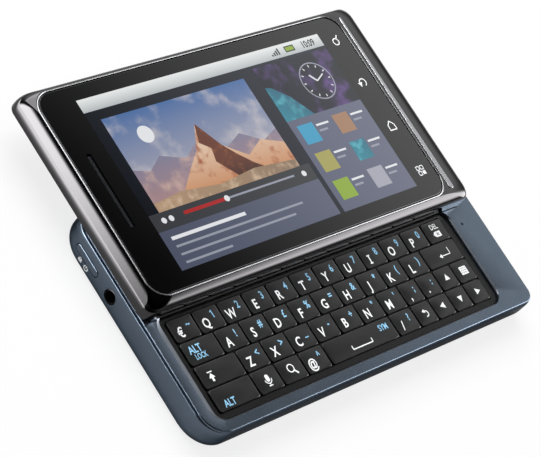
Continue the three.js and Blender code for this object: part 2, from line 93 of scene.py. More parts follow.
SHADOWED_SHARE = 0.2
PAPER_SHADE_SHARE = 1.15
FLOOR_SIZE = 6.0
BACKDROP_ENDS = 0.612
CEILING_STARTS = 0.715
BACKDROP_GLOSS = 1.45
CEILING_GLOSS = 0.02
ROOM_GLOSS_SHARE = 0.06
ROOM_ENDS = -0.45
BACKDROP_STARTS = 0.35
RIGHT_GLOSS_SHARE = 0.3
RIGHT_DIMS = (0.77, 0.93)
NEAR_GLOSS_SHARE = 0.25
NEAR_DIMS = (-0.5, 0.0)
LOW_GLOSS_SHARE = 0.3
LOW_DIMS = (0.1, 0.5)
CARD_GLOSS = 13.5
CARD_X, CARD_Y, CARD_Z = (-0.55, -0.8), (0.2, 0.31), (0.74, 0.58)
TABLE_CARD_GLOSS = 9.5
TABLE_CARD_X, TABLE_CARD_Y = (-66 * MM, -102 * MM), (5 * MM, 55 * MM)
BOX_GLOSS = 8.0
BOX_RIGHTWARD, BOX_NEAR_EDGE, BOX_FAR_EDGE = (-0.1, 0.2), (-0.62, -0.42), (0.0, -0.14)
FLOOR_GLOW_SHARE = 0.05
FLOOR_MIRRORED = 0.72
AMBIENT = 0.34
PAPER = "#a8a8a8"
FLOOR_UNDER = 0.02 * MM
LAMP_SIDES = (0.9, 0.7)
LAMP_WATTS = 8.0
LAMP_TOWARD = (0.10, 0.60, 0.80)


def linear(hex_colour):
    """An sRGB hex colour as linear red, green, blue and alpha."""
    parts = [int(hex_colour[at:at + 2], 16) / 255 for at in (1, 3, 5)]
    return [p / 12.92 if p <= 0.04045 else ((p + 0.055) / 1.055) ** 2.4 for p in parts] + [1.0]


def add(tree, kind, settings=None, links=None):
    """Adds one node: settings are its properties and input values, links are what feeds it."""
    made = tree.nodes.new("ShaderNode" + kind)
    for key, value in (settings or {}).items():
        if isinstance(key, str) and hasattr(made, key):
            setattr(made, key, value)
        else:
            made.inputs[key].default_value = value
    for key, source in (links or {}).items():
        tree.links.new(source, made.inputs[key])
    return made


WHITE = linear("#ffffff")

world = bpy.data.worlds.new("studio")
bpy.context.scene.world = world
world.use_nodes = True
tree = world.node_tree
tree.nodes.clear()
rays = add(tree, "LightPath")
direction = add(tree, "TexCoord")
height = add(tree, "SeparateXYZ", links={0: direction.outputs["Generated"]})


def ramp(tree, source, start, end, low=0.0, high=1.0):
    """A smooth change from low, where the source is at start, to high, where it is at end."""
    return add(tree, "MapRange", {
        "interpolation_type": "SMOOTHSTEP", "From Min": start, "From Max": end,
        "To Min": low, "To Max": high}, {"Value": source}).outputs["Result"]


def sums(tree, operation, first, *others):
    """The sources added up or multiplied."""
    for other in others:
        first = add(tree, "Math", {"operation": operation},
                    {0: first, 1: other}).outputs[0]
    return first


x, y, z = (height.outputs[axis] for axis in "XYZ")
gloss = sums(tree, "MULTIPLY",
             ramp(tree, z, BACKDROP_ENDS, CEILING_STARTS, BACKDROP_GLOSS, CEILING_GLOSS),
             ramp(tree, x, ROOM_ENDS, BACKDROP_STARTS, ROOM_GLOSS_SHARE),
             ramp(tree, x, *RIGHT_DIMS, 1, RIGHT_GLOSS_SHARE),
             ramp(tree, y, *NEAR_DIMS, NEAR_GLOSS_SHARE),
             ramp(tree, z, *LOW_DIMS, LOW_GLOSS_SHARE))
card = sums(tree, "MULTIPLY", ramp(tree, x, *CARD_X, 0, CARD_GLOSS), ramp(tree, y, *CARD_Y),
            ramp(tree, z, *CARD_Z))
rightward = add(tree, "Math", {"operation": "SUBTRACT"}, {0: x, 1: z}).outputs[0]
box = sums(tree, "MULTIPLY", ramp(tree, rightward, *BOX_RIGHTWARD, 0, BOX_GLOSS),
           ramp(tree, y, *BOX_FAR_EDGE), ramp(tree, y, *BOX_NEAR_EDGE))
gloss = sums(tree, "ADD", gloss, card, box)
ambient = add(tree, "Background", {"Color": WHITE, "Strength": AMBIENT})
reflected = add(tree, "Background", {"Color": WHITE}, {"Strength": gloss})
backdrop = add(tree, "Background", {"Color": WHITE, "Strength": 1.0})
with_gloss = add(tree, "MixShader", links={
    0: rays.outputs["Is Glossy Ray"], 1: ambient.outputs[0], 2: reflected.outputs[0]})
seen = add(tree, "Math", {"operation": "MAXIMUM"}, {
    0: rays.outputs["Is Camera Ray"], 1: rays.outputs["Is Transmission Ray"]})
with_backdrop = add(tree, "MixShader", links={
    0: seen.outputs[0], 1: with_gloss.outputs[0], 2: backdrop.outputs[0]})
add(tree, "OutputWorld", links={"Surface": with_backdrop.outputs[0]})

# Matt white paper: it takes the phone's shadow and has no sheen of its own.
floor_paper = bpy.data.materials.new("matt_white_paper")
floor_paper.use_nodes = True
tree = floor_paper.node_tree
tree.nodes.clear()
rays = add(tree, "LightPath")
paper = add(tree, "BsdfDiffuse", {"Color": linear(PAPER)})
shade = add(tree, "MapRange", {
    "To Min": SHADOWED_SHARE * PAPER_SHADE_SHARE, "To Max": FLOOR_MIRRORED},
    {"Value": rays.outputs["Is Glossy Ray"]})
shadowed = add(tree, "BsdfDiffuse", links={"Color": shade.outputs["Result"]})
at = add(tree, "TexCoord")
spot = add(tree, "SeparateXYZ", links={0: at.outputs["Object"]})
card = sums(tree, "MULTIPLY", ramp(tree, spot.outputs["X"], *TABLE_CARD_X, 0, TABLE_CARD_GLOSS),
            ramp(tree, spot.outputs["Y"], *TABLE_CARD_Y), rays.outputs["Is Glossy Ray"])
even = add(tree, "MapRange", {"To Min": 1 - SHADOWED_SHARE, "To Max": FLOOR_GLOW_SHARE},
           {"Value": rays.outputs["Is Glossy Ray"]})
strength = add(tree, "Math", {"operation": "ADD"}, {0: card, 1: even.outputs["Result"]})
glow = add(tree, "Emission", {"Color": WHITE}, {"Strength": strength.outputs[0]})
both = add(tree, "AddShader", links={0: shadowed.outputs[0], 1: glow.outputs[0]})
seen = add(tree, "Math", {"operation": "MAXIMUM"}, {
    0: rays.outputs["Is Camera Ray"], 1: rays.outputs["Is Glossy Ray"]})
seen_too = add(tree, "Math", {"operation": "MAXIMUM"}, {
    0: seen.outputs[0], 1: rays.outputs["Is Transmission Ray"]})
lit_paper = add(tree, "MixShader", links={
    0: seen_too.outputs[0], 1: paper.outputs[0], 2: both.outputs[0]})
add(tree, "OutputMaterial", links={"Surface": lit_paper.outputs[0]})

floor_mesh = bpy.data.meshes.new("floor")
half = FLOOR_SIZE / 2
under = -FLOOR_UNDER
floor_mesh.from_pydata([(-half, -half, under), (half, -half, under), (half, half, under),
                        (-half, half, under)], [], [(0, 1, 2, 3)])
floor_mesh.materials.append(floor_paper)
floor = bpy.data.objects.new("floor", floor_mesh)
bpy.context.scene.collection.objects.link(floor)
floor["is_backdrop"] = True

lamp = bpy.data.lights.new("far_softbox", "AREA")
lamp.shape = "RECTANGLE"
lamp.size, lamp.size_y = LAMP_SIDES
lamp.energy = LAMP_WATTS
stand = bpy.data.objects.new("far_softbox", lamp)
aim = Vector(LAMP_TOWARD).normalized()
stand.matrix_world = Matrix.Translation(aim) @ aim.to_track_quat("Z", "Y").to_matrix().to_4x4()
bpy.context.scene.collection.objects.link(stand)

# Rear housing: the tub that holds the board and the battery, moulded in ABS and sprayed with a
# satin slate lacquer. Its rounded rim catches the light just under the deck.

LEFT_CORNER = 6.9 * MM
CHIN_CORNER = 2.8 * MM
CORNER_GROWTH = (1.5 * MM, 0.5 * MM)
FOOT_INWARD = 1.1 * MM
FOOT_UPWARD = 3.0 * MM
SHELL_WALL = 1.6 * MM
RIM_RISE = 0.8 * MM
RIM_DOWNWARD = 2.0 * MM
SEAT_GAP = 0.3 * MM
SEAM_GAP = 0.25 * MM
COVER_SKIN = 0.8 * MM
OVERRUN = 1.0 * MM
ROUND_END = 0.49
CORNER_STEPS = 12
ROUND_STEPS = 8
SHARP_ANGLE = math.radians(32)
SLATE = "#606b78"

Rect = namedtuple("Rect", "left right near far")
RIM_INWARD = Rect(0.2 * MM, 0.6 * MM, 0.3 * MM, 0.6 * MM)


def plan(node):
    """A CAD node's outline seen from above."""
    low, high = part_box(node)
    return Rect(low.x, high.x, low.y, high.y)


def inset(rect, left, right=None, near=None, far=None):
    """The rectangle drawn in on each side, or by the first amount on all sides."""
    right, near, far = (left if side is None else side for side in (right, near, far))
    return Rect(rect.left + left, rect.right - right, rect.near + near, rect.far - far)


def outline(rect, corner, steps=CORNER_STEPS, side_steps=1):
    """Points round a rectangle with round corners. The corner is one radius, or one for the left
    end and one for the right. Each straight side is in so many steps."""
    left_corner, right_corner = corner if isinstance(corner, tuple) else (corner, corner)
    turns = [(rect.right - right_corner, rect.far - right_corner, right_corner),
             (rect.left + left_corner, rect.far - left_corner, left_corner),
             (rect.left + left_corner, rect.near + left_corner, left_corner),
             (rect.right - right_corner, rect.near + right_corner, right_corner)]
    points = []
    for quarter, (x, y, radius) in enumerate(turns):
        for step in range(steps + 1):
            angle = (quarter + step / steps) * math.pi / 2
            points.append((x + radius * math.cos(angle), y + radius * math.sin(angle)))
        here = points[-1]
        x, y, radius = turns[(quarter + 1) % 4]
        angle = (quarter + 1) * math.pi / 2
        there = (x + radius * math.cos(angle), y + radius * math.sin(angle))
        for step in range(1, side_steps):
            share = step / side_steps
            points.append((here[0] + (there[0] - here[0]) * share,
                           here[1] + (there[1] - here[1]) * share))
    return points


def ring(rect, corner, z, steps=CORNER_STEPS, side_steps=1):
    """The same outline at one height."""
    return [(x, y, z) for x, y in outline(rect, corner, steps, side_steps)]


def as_mesh(name, shape):
    """The bmesh as a mesh. It is freed."""
    mesh = bpy.data.meshes.new(name)
    shape.to_mesh(mesh)
    shape.free()
    return mesh


def skin(name, rings, joined=False):
    """A closed mesh over rings of as many points each: capped, or its last ring joined on."""
    shape = bmesh.new()
    rows = [[shape.verts.new(point) for point in points] for points in rings]
    pairs = list(zip(rows, rows[1:]))
    if joined:
        pairs.append((rows[-1], rows[0]))
    else:
        shape.faces.new(rows[0])
        shape.faces.new(rows[-1])
    count = len(rows[0])
    for low, high in pairs:
        for here in range(count):
            there = (here + 1) % count
            shape.faces.new((low[here], low[there], high[there], high[here]))
    bmesh.ops.recalc_face_normals(shape, faces=shape.faces)
    return as_mesh(name, shape)


def slab(name, rect, corner, bottom, top, steps=CORNER_STEPS):
    return skin(name, [ring(rect, corner, z, steps) for z in (bottom, top)])


def shell_corner(change, low=0.0):
    """The base's corner radii at its left end and at its chin, both changed by so much. They grow
    low on the foot."""
    return (LEFT_CORNER + CORNER_GROWTH[0] * low + change,
            CHIN_CORNER + CORNER_GROWTH[1] * low + change)


def quarter_turn(steps):
    """The angles of a quarter turn in so many steps."""
    return [step / steps * math.pi / 2 for step in range(steps + 1)]


def round_over(rect, corner, top, inward, downward=None, steps=ROUND_STEPS):
    """Rings that turn an upright wall into a flat top over a round edge. It draws in by one amount,
    or by one on each side. The corner is a function of the change in radius."""
    sides = inward if isinstance(inward, tuple) else (inward,) * 4
    rings = []
    for angle in quarter_turn(steps):
        share = 1 - math.cos(angle)
        z = top - (downward or sides[0]) * (1 - math.sin(angle))
        rings.append(ring(inset(rect, *(side * share for side in sides)),
                          corner(-sides[0] * share), z))
    return rings


def combined(mesh, tool, operation):
    """The mesh joined with, or cut by, one tool mesh."""
    work = bpy.data.objects.new("work", mesh)
    knife = bpy.data.objects.new("knife", tool)
    for thing in (work, knife):
        bpy.context.scene.collection.objects.link(thing)
    modifier = work.modifiers.new("cut", "BOOLEAN")
    modifier.operation = operation
    modifier.solver = "EXACT"
    modifier.object = knife
    graph = bpy.context.evaluated_depsgraph_get()
    result = bpy.data.meshes.new_from_object(work.evaluated_get(graph))
    for thing in (work, knife):
        bpy.data.objects.remove(thing)
    return result


def cut(mesh, *tools):
    for tool in tools:
        mesh = combined(mesh, tool, "DIFFERENCE")
    return mesh


def place(name, mesh, materials, body, slot, stands_for=()):
    """Makes the piece, smooth but for its sharp edges, and lets it ride on its body."""
    for material in materials:
        mesh.materials.append(material)
    mesh.shade_smooth()
    mesh.set_sharp_from_angle(angle=SHARP_ANGLE)
    piece = bpy.data.objects.new(name, mesh)
    bpy.context.scene.collection.objects.link(piece)
    flats_first = piece.modifiers.new("flat faces stay flat", "WEIGHTED_NORMAL")
    flats_first.keep_sharp = True
    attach(piece, body)
    if stands_for:
        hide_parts(*stands_for)
    return piece


def per_metre(millimetres):
    """A texture scale whose pattern repeats about every so many millimetres."""
    return 1 / (millimetres * MM)


def shaded(name, colour, roughness, metallic=0.0, **more):
    """A material with one Principled shader. Returns it, its tree and the shader."""
    material = bpy.data.materials.new(name)
    material.use_nodes = True
    tree = material.node_tree
    tree.nodes.clear()
    settings = {"Base Color": linear(colour), "Roughness": roughness, "Metallic": metallic}
    settings.update({key.replace("_", " "): value for key, value in more.items()})
    shader = add(tree, "BsdfPrincipled", settings)
    add(tree, "OutputMaterial", links={"Surface": shader.outputs[0]})
    return material, tree, shader


def grain(tree, shader, period, depth, rough_low, rough_high, detail=4.0):
    """Fine noise in the surface: a bump of that depth and a roughness between two values."""
    place_at = add(tree, "TexCoord")
    fine = add(tree, "TexNoise", {"Scale": per_metre(period), "Detail": detail},
               {"Vector": place_at.outputs["Object"]})
    bump = add(tree, "Bump", {"Strength": 1.0, "Distance": depth * MM},
               {"Height": fine.outputs["Fac"]})
    patches = add(tree, "TexNoise", {"Scale": per_metre(period * 25), "Detail": 2.0},
                  {"Vector": place_at.outputs["Object"]})
    rough = add(tree, "MapRange", {"To Min": rough_low, "To Max": rough_high},
                {"Value": patches.outputs["Fac"]})
    tree.links.new(bump.outputs[0], shader.inputs["Normal"])
    tree.links.new(rough.outputs[0], shader.inputs["Roughness"])
    return patches


def surface(name, colour, roughness, metallic=0.0, grained=(), **more):
    """A material with one shader and that grain."""
    material, tree, shader = shaded(name, colour, roughness, metallic, **more)
    grain(tree, shader, *grained)
    return material


# The lacquer is a slate base coat full of fine aluminium flake: it mirrors the room very softly, in
# a slow, faint cloud, and its orange-peel grain is about 0.3 mm.
def slate_lacquer(name, colour, light):
    material, tree, shader = shaded(name, colour, 0.22, 0.85, Specular_Tint=linear("#808080"))
    patches = grain(tree, shader, 0.3, 0.0012, 0.2, 0.24)
    tint = add(tree, "Mix", {"data_type": "RGBA", 6: linear(colour), 7: linear(light)},
               {0: patches.outputs["Fac"]})
    tree.links.new(tint.outputs[2], shader.inputs["Base Color"])
    return material


lacquer = slate_lacquer("satin_slate_lacquer", SLATE, "#6b7785")

shell = plan("rear_housing")
rim_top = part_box("rear_housing")[1].z + RIM_RISE
cover_low, cover_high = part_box("battery_cover")
battery_plan = plan("battery")
battery_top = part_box("battery")[1].z


def tub(name, depth, top, rim=False):
    """The base's outer form, or one that lies the given depth under its surface."""
    rise = FOOT_UPWARD - depth
    reach = FOOT_INWARD * rise / FOOT_UPWARD
    rings = []
    for angle in quarter_turn(ROUND_STEPS):
        low = 1 - math.sin(angle)
        rings.append(ring(inset(shell, depth + reach * low), shell_corner(-depth, low),
                          FOOT_UPWARD - rise * math.cos(angle)))
    if rim:
        rings += round_over(shell, shell_corner, top, RIM_INWARD, RIM_DOWNWARD)
    else:
        rings.append(ring(inset(shell, depth), shell_corner(-depth), top))
    return skin(name, rings)


def cover_room(left, top):
    """The part of the base's underside from left on, below top."""
    region = Rect(left, shell.right + OVERRUN, shell.near - OVERRUN, shell.far + OVERRUN)
    return slab("cover_room", region, OVERRUN / 2, -OVERRUN, top, 2)


split = cover_low.x
bay = inset(battery_plan, -SEAT_GAP)
room = cut(cover_room(split - SEAM_GAP, cover_high.z + SEAM_GAP),
           tub("kept", COVER_SKIN + SEAT_GAP, rim_top + OVERRUN))
housing = cut(
    tub("rear_housing_shell", 0, rim_top, rim=True),
    tub("hollow", SHELL_WALL, rim_top + OVERRUN),
    room,
    slab("bay", bay, SEAT_GAP * 6, 0, battery_top, 4))

# Battery cover: a thin soft-touch moulding that slides off towards the chin. It has a shallow
# thumb rest next to the split.

COVER_GREY = "#3b4650"
THUMB_RIDGES = 5
THUMB_PITCH = 1.4 * MM
THUMB_RIDGE_WIDTH = 0.7 * MM
THUMB_RIDGE_DEPTH = 0.25 * MM
THUMB_LENGTH = 16 * MM
THUMB_FROM_SPLIT = 3.0 * MM

cover = combined(tub("battery_cover_shell", 0, rim_top),
                 cover_room(split, cover_high.z), "INTERSECT")
cover = cut(cover, tub("under_cover", COVER_SKIN, rim_top + OVERRUN))
for ridge in range(THUMB_RIDGES):
    left = split + THUMB_FROM_SPLIT + ridge * THUMB_PITCH
    groove = Rect(left, left + THUMB_RIDGE_WIDTH, -THUMB_LENGTH / 2, THUMB_LENGTH / 2)
    cover = cut(cover, slab("groove", groove, THUMB_RIDGE_WIDTH * ROUND_END, -OVERRUN,
                            THUMB_RIDGE_DEPTH, 4))

# Soft-touch polyurethane paint: matt, with a grain of about 0.2 mm that scatters the highlight.
soft_touch = surface("soft_touch_polyurethane", COVER_GREY, 0.6, Sheen_Weight=0.15,
                     Sheen_Roughness=0.5, grained=(0.2, 0.006, 0.52, 0.66))
place("back_cover", cover, [soft_touch], "battery_cover", "cover_plastic", ["battery_cover"])

# Side buttons: small lacquered mouldings that stand out of the wall on a wider flange. The power
# button is in the left end, the volume rocker and the camera button in the far side.

BUTTON_HEIGHT = 2.0 * MM
BUTTON_PROUD = 0.4 * MM
POWER_PROUD = 0.15 * MM
BUTTON_ROUND = 0.3 * MM
BUTTON_CORNER = 0.9 * MM
BUTTON_FLANGE = 0.5 * MM
FLANGE_REACH = 0.8 * MM
BUTTON_GAP = 0.12 * MM
BUTTON_STEPS = 6

UPRIGHT = Matrix.Identity(4)
OUT_OF_LEFT = Matrix(((0, 0, -1), (1, 0, 0), (0, -1, 0))).to_4x4()
OUT_OF_FAR = Matrix(((-1, 0, 0), (0, 0, 1), (0, 1, 0))).to_4x4()


def moved(mesh, turn, place_at):
    mesh.transform(Matrix.Translation(place_at) @ turn)
    if turn.determinant() < 0:
        mesh.flip_normals()
    return mesh


def fit(name, mesh, turn, place_at, material, slot):
    """Turns a piece that is made at the origin, and sets it into the base."""
    place(name, moved(mesh, turn, place_at), [material], "base", slot)


def centred(length, width):
    return Rect(-length / 2, length / 2, -width / 2, width / 2)


def button_mesh(length, proud):
    """A button pointing up, with the wall's outer face at zero height."""
    cap = centred(length, BUTTON_HEIGHT)
    flange_top = -SHELL_WALL - SEAT_GAP
    rings = [ring(cap, BUTTON_CORNER, flange_top, BUTTON_STEPS)]
    for angle in quarter_turn(BUTTON_STEPS):
        drawn_in = BUTTON_ROUND * (1 - math.cos(angle))
        z = proud - BUTTON_ROUND * (1 - math.sin(angle))
        rings.append(ring(inset(cap, drawn_in), BUTTON_CORNER - drawn_in, z, BUTTON_STEPS))
    flange = centred(length + FLANGE_REACH * 2, BUTTON_HEIGHT)
    foot = [ring(flange, BUTTON_CORNER, z, BUTTON_STEPS)
            for z in (flange_top - BUTTON_FLANGE, flange_top)]
    return skin("button", foot + rings)


def button_hole(length):
    opening = centred(length + BUTTON_GAP * 2, BUTTON_HEIGHT + BUTTON_GAP * 2)
    return slab("button_hole", opening, BUTTON_HEIGHT * 0.5, -SHELL_WALL - OVERRUN, OVERRUN,
                BUTTON_STEPS)


buttons = {
    "power_button": (OUT_OF_LEFT, 1, POWER_PROUD),
    "volume_rocker": (OUT_OF_FAR, 0, BUTTON_PROUD),
    "camera_button": (OUT_OF_FAR, 0, BUTTON_PROUD),
}
for node, (turn, along, proud) in buttons.items():
    low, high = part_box(node)
    middle = (low + high) / 2
    length = (high - low)[along] - FLANGE_REACH * 2
    wall = Vector((shell.left, middle.y, middle.z)) if along else Vector(
        (middle.x, shell.far, middle.z))
    housing = cut(housing, moved(button_hole(length), turn, wall))
    place(node + "_cap", moved(button_mesh(length, proud), turn, wall), [lacquer], node,
          "button_plastic", [node])

# Sockets: the 3.5 mm headphone jack in the left end, a black sleeve with a gilt spring inside it,
# and the micro-USB port in the far side, a folded steel shell with a black tongue.

JACK_RADIUS = 1.75 * MM
JACK_HOLE_RADIUS = 1.875 * MM
JACK_DEPTH = 12 * MM
JACK_LINING = 0.2 * MM
JACK_PLAY = 0.03 * MM
JACK_FROM_FAR_SIDE = 20.5 * MM
USB_FROM_LEFT_END = 21.1 * MM
USB_WIDTH = 7.4 * MM
USB_HEIGHT = 1.9 * MM
USB_SHELL = 0.25 * MM
USB_DEPTH = 5 * MM
USB_WALL = 0.4 * MM
TONGUE_WIDTH = 5.2 * MM
TONGUE_HEIGHT = 0.6 * MM
ROUND_SIDES = 48
BOARD_THICKNESS = 0.7 * MM

board_low, board_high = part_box("main_board")
jack_at = Vector((shell.left, shell.far - JACK_FROM_FAR_SIDE, (board_low.z + board_high.z) / 2))
usb_at = Vector((shell.left + USB_FROM_LEFT_END, shell.far,
                 board_high.z - BOARD_THICKNESS - USB_WALL - USB_HEIGHT / 2))


def circle(radius, z, sides=ROUND_SIDES):
    return [(radius * math.cos(2 * math.pi * side / sides),
             radius * math.sin(2 * math.pi * side / sides), z) for side in range(sides)]


def lathed(name, profile, joined=False, sides=ROUND_SIDES):
    """A round piece from its radii and heights."""
    return skin(name, [circle(radius, z, sides) for radius, z in profile], joined)


# Carbon-black ABS straight from the mould, used for sockets and lens holders.
black_abs = surface("moulded_black_abs", "#0c0c0d", 0.45, grained=(0.25, 0.003, 0.4, 0.5))
# Bright tin plate on the folded USB shell, with faint rolling marks about 0.1 mm apart.
tin_plate = surface("tin_plated_steel", "#b9bbbd", 0.28, 1.0, grained=(0.1, 0.002, 0.22, 0.34))
# Thin gold flash on the contact springs.
gilt = surface("gold_flashed_bronze", "#c9a24a", 0.2, 1.0, grained=(0.1, 0.001, 0.16, 0.26))

housing = cut(housing, moved(
    lathed("jack_hole", [(JACK_HOLE_RADIUS, -SHELL_WALL - OVERRUN), (JACK_HOLE_RADIUS, OVERRUN)]),
    OUT_OF_LEFT, jack_at))
sleeve = lathed("jack_sleeve", [
    (JACK_RADIUS - JACK_PLAY, -JACK_DEPTH), (JACK_RADIUS - JACK_PLAY, -0.25 * MM),
    (JACK_RADIUS - JACK_LINING, -0.15 * MM), (JACK_RADIUS - JACK_LINING, -JACK_DEPTH)],
    joined=True)
fit("jack_sleeve", sleeve, OUT_OF_LEFT, jack_at, black_abs, "camera_black")
spring_rect = Rect(-0.5 * MM, 0.5 * MM, -JACK_RADIUS + JACK_LINING,
                   -JACK_RADIUS + JACK_LINING * 3)
spring = slab("jack_spring", spring_rect, 0.1 * MM, -JACK_DEPTH / 2, -3 * MM, 3)
fit("jack_spring", spring, OUT_OF_LEFT, jack_at, gilt, "slide_steel")

usb_hole = centred(USB_WIDTH + USB_WALL * 2 + SEAT_GAP, USB_HEIGHT + USB_WALL * 2 + SEAT_GAP)
housing = cut(housing, moved(
    slab("usb_hole", usb_hole, USB_HEIGHT / 3, -SHELL_WALL - OVERRUN, OVERRUN, 4),
    OUT_OF_FAR, usb_at))
mouth = centred(USB_WIDTH - 2 * SEAM_GAP / 5, USB_HEIGHT - 2 * SEAM_GAP / 5)
lining = skin("usb_shell", [
    ring(mouth, USB_HEIGHT / 4, -USB_DEPTH, 4),
    ring(mouth, USB_HEIGHT / 4, -SHELL_WALL, 4),
    ring(inset(mouth, USB_SHELL), USB_HEIGHT / 4 - USB_SHELL / 2, -SHELL_WALL, 4),
    ring(inset(mouth, USB_SHELL), USB_HEIGHT / 4 - USB_SHELL / 2, -USB_DEPTH, 4)], joined=True)
fit("usb_shell", lining, OUT_OF_FAR, usb_at, tin_plate, "slide_steel")
tongue = slab("usb_tongue", centred(TONGUE_WIDTH, TONGUE_HEIGHT), TONGUE_HEIGHT / 4,
              -USB_DEPTH, -SHELL_WALL - OVERRUN, 3)
fit("usb_tongue", tongue, OUT_OF_FAR, usb_at, black_abs, "camera_black")

# Camera and flash in the back: a bright trim ring round a dark coated window, and two
# light-emitting chips under one frosted strip.

CAMERA_HOLE_RADIUS = 3.5 * MM
TRIM_OUTER = 3.35 * MM
TRIM_INNER = 2.55 * MM
TRIM_DEPTH = 0.35 * MM
LENS_RADIUS = 1.1 * MM
LENS_FOOT = 0.19 * MM
LENS_RISE = 0.12 * MM
LENS_OPEN_SHARE = 0.98
LENS_STEPS = 6
FLASH_FROM_CAMERA = 8.6 * MM
FLASH_LENGTH = 5.6 * MM
FLASH_WIDTH = 2.6 * MM
FLASH_DEPTH = 0.7 * MM
CHIP_SIZE = 1.2 * MM
CHIP_APART = 2.4 * MM

camera_low, camera_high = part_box("camera_module")
camera_at = Vector(((camera_low.x + camera_high.x) / 2, (camera_low.y + camera_high.y) / 2, 0))
housing = cut(housing, moved(
    lathed("camera_hole", [(CAMERA_HOLE_RADIUS, -OVERRUN), (CAMERA_HOLE_RADIUS, SHELL_WALL * 2)]),
    UPRIGHT, camera_at))
# Chromium on brass, turned and polished: an almost perfect mirror with the lathe's fine rings.
chrome = surface("polished_chromium", "#c9cacd", 0.08, 1.0, grained=(0.4, 0.0004, 0.05, 0.12))
trim = lathed("camera_trim", [
    (TRIM_OUTER, TRIM_DEPTH), (TRIM_OUTER, 0.12 * MM), (TRIM_OUTER - 0.08 * MM, 0.03 * MM),
    (TRIM_INNER + 0.25 * MM, 0.03 * MM), (TRIM_INNER, 0.22 * MM), (TRIM_INNER, TRIM_DEPTH)],
    joined=True)
fit("camera_trim", trim, UPRIGHT, camera_at, chrome, "slide_steel")
# Coated window glass over black print: it shows only its gloss.
lens_glass = surface("coated_window_glass", "#07070a", 0.05, Coat_Weight=1.0, Coat_Roughness=0.02,
                     Coat_Tint=linear("#c8c0ff"), grained=(0.8, 0.0002, 0.03, 0.07))
window = lathed("camera_window", [
    (TRIM_INNER - 0.04 * MM, TRIM_DEPTH - 0.01 * MM), (TRIM_INNER - 0.04 * MM, 0.24 * MM),
    (TRIM_INNER - 0.12 * MM, 0.2 * MM), (LENS_RADIUS, 0.2 * MM)])
fit("camera_window", window, UPRIGHT, camera_at, lens_glass, "camera_black")
lens_profile = [(LENS_RADIUS * math.cos(angle * LENS_OPEN_SHARE),
                 LENS_FOOT - LENS_RISE * math.sin(angle)) for angle in quarter_turn(LENS_STEPS)]
lens = lathed("camera_lens", lens_profile)
fit("camera_lens", lens, UPRIGHT, camera_at, lens_glass, "camera_black")

flash_at = camera_at - Vector((0, FLASH_FROM_CAMERA, 0))
flash_rect = centred(FLASH_WIDTH, FLASH_LENGTH)
housing = cut(housing, moved(
    slab("flash_pocket", flash_rect, FLASH_WIDTH * 0.48, -OVERRUN, FLASH_DEPTH),
    UPRIGHT, flash_at))
# Frosted acrylic over the flash, milk-white with a fine lens grain.
frosted = surface("frosted_acrylic", "#d8dad4", 0.35, Coat_Weight=0.5,
                  grained=(0.35, 0.02, 0.3, 0.45))
strip = slab("flash_strip", inset(flash_rect, 0.1 * MM), FLASH_WIDTH * 0.44, 0.08 * MM,
             FLASH_DEPTH - 0.05 * MM)
fit("flash_strip", strip, UPRIGHT, flash_at, frosted, "camera_black")
# Phosphor over the light-emitting chips: a dull yellow cake.
phosphor = surface("yellow_phosphor", "#d9c24a", 0.6, grained=(0.1, 0.01, 0.55, 0.7))
for side in (-1, 1):
    chip = slab("flash_chip", centred(CHIP_SIZE, CHIP_SIZE), CHIP_SIZE / 5, 0.04 * MM, 0.09 * MM, 3)
    chip_at = flash_at + Vector((0, side * CHIP_APART / 2, 0))
    fit("flash_chip_" + ("near" if side < 0 else "far"), chip, UPRIGHT, chip_at, phosphor,
        "camera_black")

# Loudspeaker grille: slots moulded through the back, with a woven steel mesh glued behind them.

SPEAKER_FROM_LEFT_END = 4.2 * MM
SPEAKER_FROM_NEAR_SIDE = 8.75 * MM
SPEAKER_LENGTH = 10 * MM
SPEAKER_WIDTH = 15 * MM
SLOT_COUNT = 5
SLOT_WIDTH = 0.9 * MM
SLOT_PITCH = 1.8 * MM
SLOT_LENGTH = 11 * MM
WIRE = 0.16 * MM
WIRE_PITCH = 0.42 * MM

speaker = Rect(shell.left + SPEAKER_FROM_LEFT_END,
               shell.left + SPEAKER_FROM_LEFT_END + SPEAKER_LENGTH,
               shell.near + SPEAKER_FROM_NEAR_SIDE,
               shell.near + SPEAKER_FROM_NEAR_SIDE + SPEAKER_WIDTH)
speaker_at = Vector(((speaker.left + speaker.right) / 2, (speaker.near + speaker.far) / 2, 0))
for slot in range(SLOT_COUNT):
    slot_at = speaker_at + Vector(((slot - (SLOT_COUNT - 1) / 2) * SLOT_PITCH, 0, 0))
    opening = slab("grille_slot", centred(SLOT_WIDTH, SLOT_LENGTH), SLOT_WIDTH * ROUND_END,
                   -OVERRUN, SHELL_WALL + OVERRUN, 6)
    housing = cut(housing, moved(opening, UPRIGHT, slot_at))


